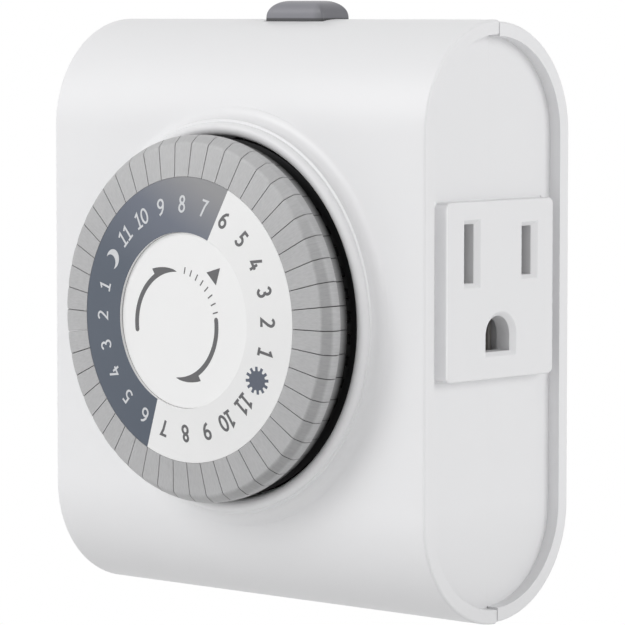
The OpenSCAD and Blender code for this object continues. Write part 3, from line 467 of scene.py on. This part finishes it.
SHELL = white_shell()
OUTLET = white_outlet()
TAB = tab_plastic()
TAB_GAP = tab_gap()
DAY = label_print("day half of the label", LABEL_WHITE, 0.36).material
NIGHT = night_print()
CAP = moulded("white centre disc", DISC_WHITE, 0.36).material
GREY_INK = ink("grey ink", INK_GREY)
WHITE_INK = ink("white ink", INK_WHITE)
SUN_INK = ink("blue grey ink", INK_SUN)
BLACK = dial_body()
BUTTON = button_plastic()
NYLON = moulded("natural nylon", (0.62, 0.58, 0.47, 1), 0.45, drift=0.04).material
BRASS = metal("stamped brass", (0.80, 0.55, 0.20, 1), 0.22, (0.62, 0.42, 0.17, 1))
STEEL = metal("zinc-plated steel", (0.62, 0.63, 0.65, 1), 0.28, (0.50, 0.51, 0.53, 1))
SPRING = metal("spring steel", (0.42, 0.42, 0.43, 1), 0.25, (0.30, 0.30, 0.31, 1))
CAN = metal("drawn motor can", (0.58, 0.59, 0.60, 1), 0.35, (0.46, 0.47, 0.48, 1), 0.3 * MM)
LAMINATE = laminate()
LEAD = lead_skin()

NODE_FINISH = {
    "shell": SHELL, "outlet": OUTLET, "dial_body": BLACK, "tab": TAB, "label": NIGHT, "cap": CAP,
    "button": BUTTON, "nylon": NYLON, "phenolic": LAMINATE, "brass": BRASS, "steel": STEEL,
    "spring_steel": SPRING, "motor_can": CAN, "lead_insulation": LEAD,
}
NODE_SLOT = {part["node"]: part["material_slot"] for part in frame["record"]["subparts"]}


# Meshes -------------------------------------------------------------------------
def place(name, data):
    """Puts data in the scene as an object at the origin."""
    thing = bpy.data.objects.new(name, data)
    bpy.context.scene.collection.objects.link(thing)
    return thing


def dress_cad_nodes():
    for name, node in NODES.items():
        node.data.materials.clear()
        node.data.materials.append(NODE_FINISH[NODE_SLOT[name]])


def finish_piece(name, bm, body, materials, smooth_angle=30):
    """Makes a bmesh a piece that rides on a body."""
    bm.normal_update()
    for f in bm.faces:
        f.smooth = True
    for e in bm.edges:
        e.smooth = not sharp(e, smooth_angle)
    mesh = bpy.data.meshes.new(name)
    bm.to_mesh(mesh)
    bm.free()
    for material in materials:
        mesh.materials.append(material)
    piece = place(name, mesh)
    if smooth_angle:
        weighted = piece.modifiers.new("even shading", "WEIGHTED_NORMAL")
        weighted.keep_sharp = True
    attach(piece, body)
    return piece


def merged_copy(node):
    """A bmesh of a CAD node with its triangles joined and its flat faces made whole."""
    bm = bmesh.new()
    bm.from_mesh(NODES[node].data)
    bmesh.ops.remove_doubles(bm, verts=bm.verts, dist=0.0004 * MM)
    bmesh.ops.dissolve_degenerate(bm, dist=0.0002 * MM, edges=bm.edges)
    bmesh.ops.dissolve_limit(bm, angle_limit=math.radians(0.4), verts=bm.verts, edges=bm.edges,
                             use_dissolve_boundaries=False, delimit=set())
    return bm


def sharp(edge, degrees=30):
    return len(edge.link_faces) == 2 and edge.calc_face_angle(0) > math.radians(degrees)


def convex(edge):
    return edge.calc_face_angle_signed(0) > 0


def soften(bm, edges, width, segments=2):
    bmesh.ops.bevel(bm, geom=list(edges), offset=width, offset_type="OFFSET", affect="EDGES",
                    segments=segments, profile=0.5, material=-1, clamp_overlap=False)


def on(value, target, slack=0.01 * MM):
    return abs(value - target) < slack


def edge_ends(edge):
    return [v.co for v in edge.verts]


# Housing ------------------------------------------------------------------------
def stadium_reach(point):
    """Distance from the middle line of the body's round-ended section."""
    return math.hypot(point.y - SEAM_Y, max(0, abs(point.z) - (shell_high.z - END_R)))


def shell(node, name):
    """A shell with soft outer edges and rims, and a closed seam on the recess floors."""
    bm = merged_copy(node)

    def rim(edge, outer):
        ends = edge_ends(edge)
        if all(abs(p.y - SEAM_Y) < 0.3 * MM for p in ends):
            return False
        return (sharp(edge) and convex(edge) and all(on(abs(p.x), SIDE_X) for p in ends)
                and outer == all(stadium_reach(p) > END_R - 0.5 * MM for p in ends))

    soften(bm, [e for e in bm.edges if rim(e, True)], 0.4 * MM, 4)
    soften(bm, [e for e in bm.edges if rim(e, False)], 0.12 * MM, 2)
    side = 1 if node == "rear_housing" else -1
    for v in bm.verts:
        if on(v.co.y, SEAM_Y + side * 0.03 * MM, 0.005 * MM):
            v.co.y = SEAM_Y + side * 0.0025 * MM
    piece = finish_piece(name, bm, "housing", [SHELL])
    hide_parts(node)


def rim_seams():
    """Shallow floors in the seam's groove, where it crosses the rim above and below each recess."""
    parts = []
    for side in (-1, 1):
        for end in (-1, 1):
            x0, x1 = FLOOR_X - 0.6 * MM, SIDE_X - 0.16 * MM
            z0, z1 = shell_high.z - 1.98 * MM, shell_high.z - 0.1 * MM
            corner = 0.3 * MM
            outline = [(x0, z0), (x1 - 0.05 * MM, z0), (x1, z0 + 0.05 * MM), (x1, z1 - corner),
                       (x1 - corner, z1), (x0, z1)]
            bm = bmesh.new()
            bm.faces.new([bm.verts.new((side * x, SEAM_Y - 0.25 * MM, end * z)) for x, z in outline])
            bmesh.ops.translate(bm, verts=list(raised_verts(bm)), vec=(0, 0.5 * MM, 0))
            bmesh.ops.recalc_face_normals(bm, faces=bm.faces)
            parts.append(bm)
    finish_piece("rim_seams", joined(parts), "housing", [SHELL])


def outlet(node, name, side):
    """An outlet block with rounded corners, soft edges, and a foot that closes the gap round it."""
    bm = merged_copy(node)
    half_w = max(abs(v.co.y - SEAM_Y) for v in bm.verts if on(v.co.x, side * FACE_X))
    half_h = max(abs(v.co.z - OUTLET_Z) for v in bm.verts if on(v.co.x, side * FACE_X))
    foot, seat = FLOOR_X + 0.14 * MM, FLOOR_X - 0.04 * MM
    for depth in (foot, seat):
        bmesh.ops.bisect_plane(bm, geom=bm.verts[:] + bm.edges[:] + bm.faces[:],
                               plane_co=(side * depth, 0, 0), plane_no=(1, 0, 0))

    def corner(edge):
        a, b = edge_ends(edge)
        return (not on(a.x, b.x) and min(side * a.x, side * b.x) > seat - 0.01 * MM
                and all(on(abs(p.y - SEAM_Y), half_w) and on(abs(p.z - OUTLET_Z), half_h) for p in (a, b)))

    soften(bm, [e for e in bm.edges if corner(e)], 0.9 * MM, 6)

    def outline(p):
        return max(abs(p.y - SEAM_Y) - half_w, abs(p.z - OUTLET_Z) - half_h) > -0.95 * MM

    def face_edge(edge, outer):
        ends = edge_ends(edge)
        return sharp(edge) and all(on(p.x, side * FACE_X) and outline(p) == outer for p in ends)

    soften(bm, [e for e in bm.edges if face_edge(e, True)], 0.25 * MM, 4)
    soften(bm, [e for e in bm.edges if face_edge(e, False)], 0.13 * MM, 2)
    for v in bm.verts:
        if on(v.co.x, side * seat) and outline(v.co):
            v.co.y = SEAM_Y + (v.co.y - SEAM_Y) * (1 + 0.3 * MM / half_w)
            v.co.z = OUTLET_Z + (v.co.z - OUTLET_Z) * (1 + 0.3 * MM / half_h)
        elif side * v.co.x > FACE_X - 2.9 * MM and not outline(v.co):
            across = side * (v.co.y - SEAM_Y)
            shift = 0.22 * MM
            if side * v.co.x < FACE_X - 0.5 * MM:
                if abs(abs(across) - SLOT_HALF_PITCH) < 1.6 * MM:
                    on_right_wall = across > SLOT_HALF_PITCH or -SLOT_HALF_PITCH < across < 0
                    shift -= 0.24 * MM if on_right_wall else 0
                else:
                    shift -= 0.07 * max(0, across)
            v.co.y += side * shift
        elif side * v.co.x > foot - 0.01 * MM and side * (v.co.y - SEAM_Y) > 0:
            v.co.y += side * 0.15 * MM
    bmesh.ops.triangulate(bm, faces=[f for f in bm.faces if len(f.verts) > 4], ngon_method="EAR_CLIP")
    piece = finish_piece(name, bm, "housing", [OUTLET])
    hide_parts(node)


# Dial ---------------------------------------------------------------------------
def turn_about_dial(degrees):
    """Clockwise, seen from the front."""
    return Matrix.Rotation(math.radians(degrees), 4, "Y")


def tab_groove_floor(angle):
    """A thin wedge on a tab's clockwise side that lies under the groove to the next tab."""
    profile = [(LABEL_R + 0.25 * MM, RING_Y + 0.3 * MM), (RING_R - 1.1 * MM, RING_Y + 0.95 * MM),
               (RING_R - 0.25 * MM, RING_Y + 2.2 * MM), (RING_R - 0.25 * MM, STEP_Y - 0.1 * MM),
               (RING_R - 0.75 * MM, STEP_Y + 0.1 * MM), (RING_R - 0.75 * MM, TAB_BACK_Y - 0.1 * MM),
               (LABEL_R + 0.25 * MM, TAB_BACK_Y - 0.1 * MM)]
    bm = bmesh.new()
    bm.faces.new([bm.verts.new((0, y, r)) for r, y in profile])
    fresh = raised_verts(bm)
    for v in bm.verts:
        wide = TAB_PITCH / 2 - 0.05 if v in fresh else TAB_PITCH / 2 - TAB_GROOVE / 2 - 0.3
        v.co = turn_about_dial(angle + wide) @ v.co
    bmesh.ops.recalc_face_normals(bm, faces=bm.faces)
    for f in bm.faces:
        f.material_index = 1
    return bm


def tab_pairs():
    """Tabs with a soft upper edge, a steeper bevel and narrow grooves between them."""
    spread = (TAB_PITCH - TAB_GROOVE) / (TAB_PITCH - TAB_CAD_GAP)
    for name in [n for n in NODES if n.startswith("tab_pair_")]:
        bm = merged_copy(name)
        middles = []
        for v in bm.verts:
            if v.co.y > TAB_BACK_Y + 0.01 * MM:
                continue
            radius = math.hypot(v.co.x, v.co.z)
            angle = math.degrees(math.atan2(v.co.x, v.co.z))
            count = math.floor((angle - FIRST_TAB) / TAB_PITCH)
            middle = FIRST_TAB + TAB_PITCH * count + TAB_PITCH / 2
            if middle not in middles:
                middles.append(middle)
            y = v.co.y
            if on(radius, RING_R - 1.3 * MM, 0.06 * MM) and y < RING_Y + 0.8 * MM:
                radius += 0.22 * MM
                y += 0.1 * MM
            elif radius > RING_R - 0.1 * MM and y < RING_Y + 2.2 * MM:
                y += 0.25 * MM
            turned = math.radians(middle + (angle - middle) * spread)
            v.co = Vector((radius * math.sin(turned), y, radius * math.cos(turned)))

        def top_edge(edge):
            return sharp(edge, 20) and all(p.y < STEP_Y + 0.1 * MM for p in edge_ends(edge))

        def rounded(edge):
            ends = edge_ends(edge)
            radii = [math.hypot(p.x, p.z) for p in ends]
            return (sharp(edge, 15) and not sharp(edge, 75) and min(radii) > RING_R - 1.4 * MM
                    and max(p.y for p in ends) < STEP_Y - 0.3 * MM)

        soften(bm, [e for e in bm.edges if rounded(e)], 0.35 * MM, 3)
        soften(bm, [e for e in bm.edges if sharp(e, 60) and top_edge(e)], 0.05 * MM, 2)
        whole = joined([bm] + [tab_groove_floor(middle) for middle in middles])
        piece = finish_piece(name.replace("tab_pair", "half_hour_tabs"), whole, name,
                             [TAB, TAB_GAP])
        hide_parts(name)


def label_half(name, start, material):
    """Half of the printed ring, out to the tabs: its profile spun through half a turn."""
    edge = LABEL_R + 0.12 * MM
    profile = [(LABEL_HOLE_R, LABEL_TOP_Y + 0.04 * MM), (LABEL_HOLE_R + 0.05 * MM, LABEL_TOP_Y),
               (edge - 0.03 * MM, label_y(edge)), (edge, label_y(edge) + 0.03 * MM),
               (edge, LABEL_EDGE_Y + LABEL_T), (LABEL_HOLE_R, LABEL_TOP_Y + LABEL_T)]
    bm = bmesh.new()
    verts = [bm.verts.new((0, y, r)) for r, y in profile]
    edges = [bm.edges.new((a, b)) for a, b in zip(verts, verts[1:] + verts[:1])]
    bmesh.ops.rotate(bm, verts=verts, cent=(0, 0, 0), matrix=turn_about_dial(start).to_3x3())
    bmesh.ops.spin(bm, geom=[*verts, *edges], cent=(0, 0, 0), axis=(0, 1, 0), angle=math.pi, steps=96)
    bmesh.ops.holes_fill(bm, edges=[e for e in bm.edges if e.is_boundary], sides=0)
    bmesh.ops.recalc_face_normals(bm, faces=bm.faces)
    for f in bm.faces:
        if max(math.hypot(v.co.x, v.co.z) for v in f.verts) < LABEL_HOLE_R + 0.01 * MM:
            f.material_index = 1
    piece = finish_piece(name, bm, "dial", [material, CAP])
    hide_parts("dial_label")


def label_y(radius):
    """Where the label's cone stands at a radius."""
    return LABEL_TOP_Y + LABEL_SLOPE * (radius - LABEL_HOLE_R)


def lay_on_label(bm, angle, radius):
    """Takes a flat shape, drawn in (x, z) about its centre, to an angle and radius on the cone."""
    bmesh.ops.translate(bm, verts=bm.verts, vec=(0, 0, radius))
    bmesh.ops.rotate(bm, verts=bm.verts, cent=(0, 0, 0), matrix=turn_about_dial(angle).to_3x3())
    for v in bm.verts:
        v.co += PRINT_SHIFT
        v.co.y += label_y(math.hypot(v.co.x, v.co.z))


def raise_plate(bm):
    """Makes a flat sheet in the plane y = 0 a thin plate, half of it in front of that plane."""
    fresh = raised_verts(bm)
    for v in bm.verts:
        v.co.y += -PRINT_T / 2 if v in fresh else PRINT_T / 2
    bmesh.ops.recalc_face_normals(bm, faces=bm.faces)
    return bm


def flat_shape(outline):
    """A thin plate from an outline in (x, z)."""
    bm = bmesh.new()
    bm.faces.new([bm.verts.new((x, 0, z)) for x, z in outline])
    return raise_plate(bm)


def stroke(points, width, closed=False):
    """A thin plate along a line in (x, z), mitred at its corners."""
    spots = [Vector(p) for p in points]
    bm = bmesh.new()
    pairs = []
    for i, spot in enumerate(spots):
        before = spots[i - 1] if i or closed else spot
        after = spots[(i + 1) % len(spots)] if i + 1 < len(spots) or closed else spot
        ways = [(b - a).normalized() for a, b in ((before, spot), (spot, after)) if (b - a).length > 0]
        way = sum(ways, Vector((0, 0))).normalized()
        side = Vector((-way.y, way.x)) * width / 2 / max(0.5, way.dot(ways[0]))
        pairs.append([bm.verts.new((q.x, 0, q.y)) for q in (spot + side, spot - side)])
    for (a, b), (c, d) in zip(pairs, pairs[1:] + (pairs[:1] if closed else [])):
        bm.faces.new((a, b, d, c))
    return raise_plate(bm)


def raised_verts(bm):
    """Extrudes a flat sheet, and gives the new corners, still in their old places."""
    raised = bmesh.ops.extrude_face_region(bm, geom=bm.faces[:])
    return {v for v in raised["geom"] if isinstance(v, bmesh.types.BMVert)}


def joined(parts):
    """Several bmeshes as one."""
    whole = bmesh.new()
    for part in parts:
        mesh = bpy.data.meshes.new("part")
        part.to_mesh(mesh)
        part.free()
        whole.from_mesh(mesh)
        bpy.data.meshes.remove(mesh)
    return whole


def arc(radius, start, end, steps, centre=(0, 0), stretch=1):
    """Points on a round from start to end degrees, clockwise from the top."""
    turns = [math.radians(start + (end - start) * i / steps) for i in range(steps + 1)]
    return [(centre[0] + radius * math.sin(a), centre[1] + stretch * radius * math.cos(a))
            for a in turns]


# Centre lines of the numerals, one unit high, each with its width
DIGITS = {
    "0": (0.56, [(arc(0.225, 0, 345, 24, (0.28, 0.5), 1.86), True)]),
    "1": (0.48, [([(0.07, 0.79), (0.28, 0.93), (0.28, 0.1)], False),
                 ([(0.05, 0.07), (0.5, 0.07)], False)]),
    "2": (0.52, [(arc(0.2, -65, 100, 12, (0.25, 0.72), 1.02)
                  + [(0.38, 0.52), (0.08, 0.075), (0.5, 0.075)],
                  False)]),
    "3": (0.50, [(arc(0.18, -70, 175, 14, (0.22, 0.72), 1.15), False),
                 (arc(0.205, 2, 250, 14, (0.22, 0.305), 1.12), False)]),
    "4": (0.57, [([(0.37, 0.97), (0.07, 0.31), (0.55, 0.31)], False),
                 ([(0.39, 0.58), (0.39, 0.02)], False)]),
    "5": (0.50, [([(0.46, 0.925), (0.14, 0.925), (0.12, 0.55)]
                  + arc(0.23, 0, 235, 14, (0.2, 0.32), 1.05),
                  False)]),
    "6": (0.54, [([(0.43, 0.93), (0.25, 0.83), (0.12, 0.64), (0.062, 0.36)], False),
                 (arc(0.21, 0, 345, 24, (0.272, 0.3), 1.09), True)]),
    "7": (0.48, [([(0.03, 0.925), (0.45, 0.925), (0.3, 0.6), (0.17, 0.02)], False)]),
    "8": (0.52, [(arc(0.165, 0, 345, 24, (0.26, 0.74), 1.14), True),
                 (arc(0.2, 0, 345, 24, (0.26, 0.29), 1.12), True)]),
    "9": (0.54, [([(0.11, 0.07), (0.29, 0.17), (0.42, 0.36), (0.478, 0.64)], False),
                 (arc(0.21, 0, 345, 24, (0.268, 0.7), 1.09), True)]),
}
DIGIT_GAP = 0.06


def numeral(text, height, width):
    """Generic numerals as thin plates in (x, z) about their centre."""
    total = sum(DIGITS[c][0] for c in text) + DIGIT_GAP * (len(text) - 1)
    x = -total / 2
    parts = []
    for character in text:
        wide, lines = DIGITS[character]
        for lift, (line, closed) in enumerate(lines):
            spots = [((x + px) * height, (pz - 0.5) * height) for px, pz in line]
            part = stroke(spots, width, closed)
            bmesh.ops.translate(part, verts=part.verts, vec=(0, -lift * 0.1 * PRINT_T, 0))
            parts.append(part)
        x += wide + DIGIT_GAP
    return joined(parts)


def numerals(name, texts, first_angle, width, material):
    parts = []
    for i, text in enumerate(texts):
        if text:
            bm = numeral(text, DIGIT_H, width)
            lay_on_label(bm, first_angle + i * HOUR_STEP, HOUR_R)
            parts.append(bm)
    finish_piece(name, joined(parts), "dial", [material], 0)


def sun_mark(angle):
    """A disc with twelve blunt rays."""
    rays = 12
    outline = []
    for i in range(rays):
        for turn, radius in ((-11, 1.4), (-8.5, 1.47), (-6.2, 2), (6.2, 2), (8.5, 1.47), (11, 1.4)):
            a = math.radians(360 / rays * i + turn)
            outline.append((radius * MM * math.sin(a), radius * MM * math.cos(a)))
    bm = flat_shape(outline)
    lay_on_label(bm, angle, HOUR_R)
    finish_piece("sun_mark", bm, "dial", [SUN_INK], 0)


def moon_mark(angle):
    """A crescent that opens anticlockwise: the part of one disc that a second one leaves."""
    outer_r, inner_r = 1.45 * MM, 1.22 * MM
    apart, towards = 0.78 * MM, -74
    half = math.degrees(math.acos((outer_r ** 2 + apart ** 2 - inner_r ** 2) / (2 * outer_r * apart)))
    inner_half = math.degrees(math.asin(outer_r * math.sin(math.radians(half)) / inner_r))
    if apart > outer_r * math.cos(math.radians(half)):
        inner_half = 180 - inner_half
    centre = arc(apart, towards, towards, 1)[0]
    outer = arc(outer_r, towards + half, towards + 360 - half, 40)
    inner = arc(inner_r, towards + 360 - inner_half, towards + inner_half, 30, centre)
    bm = flat_shape(outer + inner[1:-1])
    lay_on_label(bm, angle, HOUR_R)
    finish_piece("moon_mark", bm, "dial", [WHITE_INK], 0)


def dial_print():
    label_half("label_day", FIRST_EDGE, DAY)
    label_half("label_night", FIRST_EDGE + 180, NIGHT)
    hours = ["6", "5", "4", "3", "2", "1", "", "11", "10", "9", "8", "7"]
    first = FIRST_EDGE + HOUR_SHIFT
    numerals("day_numerals", hours, first, 0.42 * MM, GREY_INK)
    numerals("night_numerals", hours, first + 180, 0.32 * MM, WHITE_INK)
    twelve = first + 6 * HOUR_STEP
    sun_mark(twelve)
    moon_mark(twelve + 180)


# Centre disc ----------------------------------------------------------------------
def centre_disc():
    """The fixed disc, with a soft edge that reaches the printed ring."""
    edge = LABEL_HOLE_R - 0.01 * MM
    profile = [(0, CAP_Y), (edge - 0.09 * MM, CAP_Y), (edge - 0.03 * MM, CAP_Y + 0.03 * MM),
               (edge, CAP_Y + 0.09 * MM), (edge, CAP_Y + 0.45 * MM), (CAP_R, CAP_Y + 0.6 * MM),
               (CAP_R, CAP_Y + 1.2 * MM), (1.5 * MM, CAP_Y + 1.2 * MM),
               (1.5 * MM, cap_high.y), (0, cap_high.y)]
    bm = bmesh.new()
    verts = [bm.verts.new((0, y, r)) for r, y in profile]
    edges = [bm.edges.new((a, b)) for a, b in zip(verts, verts[1:])]
    bmesh.ops.spin(bm, geom=[*verts, *edges], cent=(0, 0, 0), axis=(0, 1, 0), angle=2 * math.pi,
                   steps=128, use_merge=True)
    bmesh.ops.remove_doubles(bm, verts=bm.verts, dist=0.001 * MM)
    bmesh.ops.recalc_face_normals(bm, faces=bm.faces)
    piece = finish_piece("centre_disc", bm, "housing", [CAP])
    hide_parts("center_cap")


def disc_mark(name, bm, centre=Vector()):
    bmesh.ops.translate(bm, verts=bm.verts, vec=(centre.x, CAP_Y, centre.z))
    finish_piece(name, bm, "housing", [GREY_INK], 0)


def turning_arrow(turn):
    """A curved bar with a round tail and a swept, fin-shaped head, clockwise about its centre."""
    mean, half = 8 * MM, 0.385 * MM
    tail, barb, tip = 262.6 + turn, 328.3 + turn, 360.9 + turn
    tail_spot = arc(mean, tail, tail, 1)[0]
    round_end = arc(half, tail + 180, tail + 360, 8, tail_spot)
    outer = arc(mean + half, tail, barb, 40)
    fin = [(9.25, 0), (9.02, 5), (8.78, 10), (8.52, 16), (8.24, 22), (7.98, 27.5)]
    edge = [arc(r * MM, barb + a, barb + a, 1)[0] for r, a in fin]
    inner = arc(mean - half, tip, tail, 60)
    return flat_shape(outer + edge + [arc(7.66 * MM, tip, tip, 1)[0]] + inner[2:] + round_end[1:-1])


def disc_print():
    disc_mark("turning_arrow_1", turning_arrow(0), ARROW_CENTRE)
    disc_mark("turning_arrow_2", turning_arrow(180), ARROW_CENTRE)
    triangle = [(7.08 * MM, 7.85 * MM), (6.25 * MM, 5.33 * MM), (4.4 * MM, 7.1 * MM)]
    disc_mark("pointer", flat_shape(triangle))
    ticks = []
    for i in range(8):
        angle = 12 + 9 * i
        ticks.append(stroke([arc(r * MM, angle, angle, 1)[0] for r in (7.55, 8.55)], 0.2 * MM))
    disc_mark("index_ticks", joined(ticks), ARROW_CENTRE)


# Button -------------------------------------------------------------------------
def button():
    """A pillow-shaped button: upright sides at its foot, and a large round over its ends."""
    top = button_high.z
    foot = shell_high.z - 0.8 * MM
    bm = merged_copy("override_button")
    cut_off = bmesh.ops.bisect_plane(bm, geom=bm.verts[:] + bm.edges[:] + bm.faces[:],
        plane_co=(0, 0, foot), plane_no=(0, 0, 1), clear_outer=True)
    rim = [e for e in cut_off["geom_cut"] if isinstance(e, bmesh.types.BMEdge)]
    bmesh.ops.edgeloop_fill(bm, edges=rim)
    crown = bmesh.new()
    levels, steps = 16, 8
    end_round, side_round = 2.6 * MM, 2.1 * MM
    rings = []
    for level in range(-1, levels + 1):
        lift = math.pi / 2 * max(level, 0) / levels
        z = foot if level < 0 else top - end_round * (1 - math.sin(lift))

        def shrink(radius):
            depth = max(0, z - (top - radius))
            return radius - math.sqrt(max(0, radius ** 2 - depth ** 2))

        half_w = BUTTON_HALF_W - shrink(end_round)
        half_d = BUTTON_HALF_D - shrink(side_round)
        corner = min(half_d - 0.05 * MM, 0.35 * MM + 0.6 * MM * (1 - math.cos(lift)))
        ring = []
        for turn in range(4):
            side_x, side_y = ((1, 1), (1, -1), (-1, -1), (-1, 1))[turn]
            for step in range(steps + 1):
                a = math.radians(90 * turn + 90 * step / steps)
                ring.append(crown.verts.new((
                    BUTTON_X + side_x * (half_w - corner) + corner * math.sin(a),
                    SEAM_Y + side_y * (half_d - corner) + corner * math.cos(a), z)))
        rings.append(ring)
    around = len(rings[0])
    for low, high in zip(rings, rings[1:]):
        for k in range(around):
            crown.faces.new((low[k], low[(k + 1) % around], high[(k + 1) % around], high[k]))
    crown.faces.new(rings[-1])
    crown.faces.new(rings[0][::-1])
    whole = joined([bm, crown])
    bmesh.ops.recalc_face_normals(whole, faces=whole.faces)
    piece = finish_piece("push_button", whole, "override_button", [BUTTON], 40)
    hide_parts("override_button")


# Stage --------------------------------------------------------------------------
def studio():
    """Lamps, and a surround that is white to the camera and dimmer as a light."""
    scene = bpy.context.scene
    world = bpy.data.worlds.new("studio")
    scene.world = world
    sky = Nodes(world)
    background = sky.tree.nodes["Background"]
    sky.feed(background.inputs["Color"], (1, 1, 1, 1))
    level = sky.node("ShaderNodeMix", inputs={"Factor": sky.backdrop(), "A": WORLD_LEVEL, "B": 1.0})
    sky.feed(background.inputs["Strength"], level)
    floor_plate()
    for name, spot, size, power in LAMPS:
        lamp = bpy.data.lights.new(name, "AREA")
        lamp.shape = "RECTANGLE"
        lamp.size = lamp.size_y = size
        lamp.energy = power
        holder = place(name, lamp)
        holder.location = spot
        holder.rotation_euler = (LAMP_TARGET - Vector(spot)).to_track_quat("-Z", "Y").to_euler()
    scene.view_settings.view_transform = "Standard"


def floor_plate():
    """A wide pale floor under the part; far off it fades into the white surround."""
    bm = bmesh.new()
    bmesh.ops.create_grid(bm, x_segments=8, y_segments=8, size=6)
    bmesh.ops.translate(bm, verts=bm.verts, vec=(0, 0, FLOOR_Z))
    mesh = bpy.data.meshes.new("floor")
    bm.to_mesh(mesh)
    bm.free()
    floor = place("floor", mesh)
    f = Finish("pale floor", Roughness=0.7)
    f.set(Base_Color=PALE)
    x, y = f.axis("X"), f.axis("Y") - 0.02
    distance = (x * x + y * y) ** 0.5
    away = f.span(distance, 0.06, 0.25, 0.72, 1)
    white = f.node("ShaderNodeEmission", inputs={"Color": (1, 1, 1, 1), "Strength": 1.0})
    mixed = f.node("ShaderNodeMixShader",
        inputs={0: f.backdrop() * away, 1: Value(f, f.shader.outputs[0]), 2: white})
    f.feed(f.tree.nodes["Material Output"].inputs["Surface"], mixed)
    mesh.materials.append(f.material)


def camera():
    lens = bpy.data.cameras.new("camera")
    lens.lens = CAMERA_LENS
    lens.sensor_width = SENSOR_WIDTH
    lens.sensor_fit = "HORIZONTAL"
    lens.clip_start = 0.01
    holder = place("camera", lens)
    holder.location = CAMERA_SPOT
    holder.rotation_euler = (CAMERA_TILT, 0, CAMERA_TURN)
    bpy.context.scene.camera = holder


camera()
studio()
dress_cad_nodes()
shell("front_housing", "front_shell")
shell("rear_housing", "rear_shell")
rim_seams()
outlet("outlet_block_right", "right_outlet", 1)
outlet("outlet_block_left", "left_outlet", -1)
tab_pairs()
dial_print()
centre_disc()
disc_print()
button()
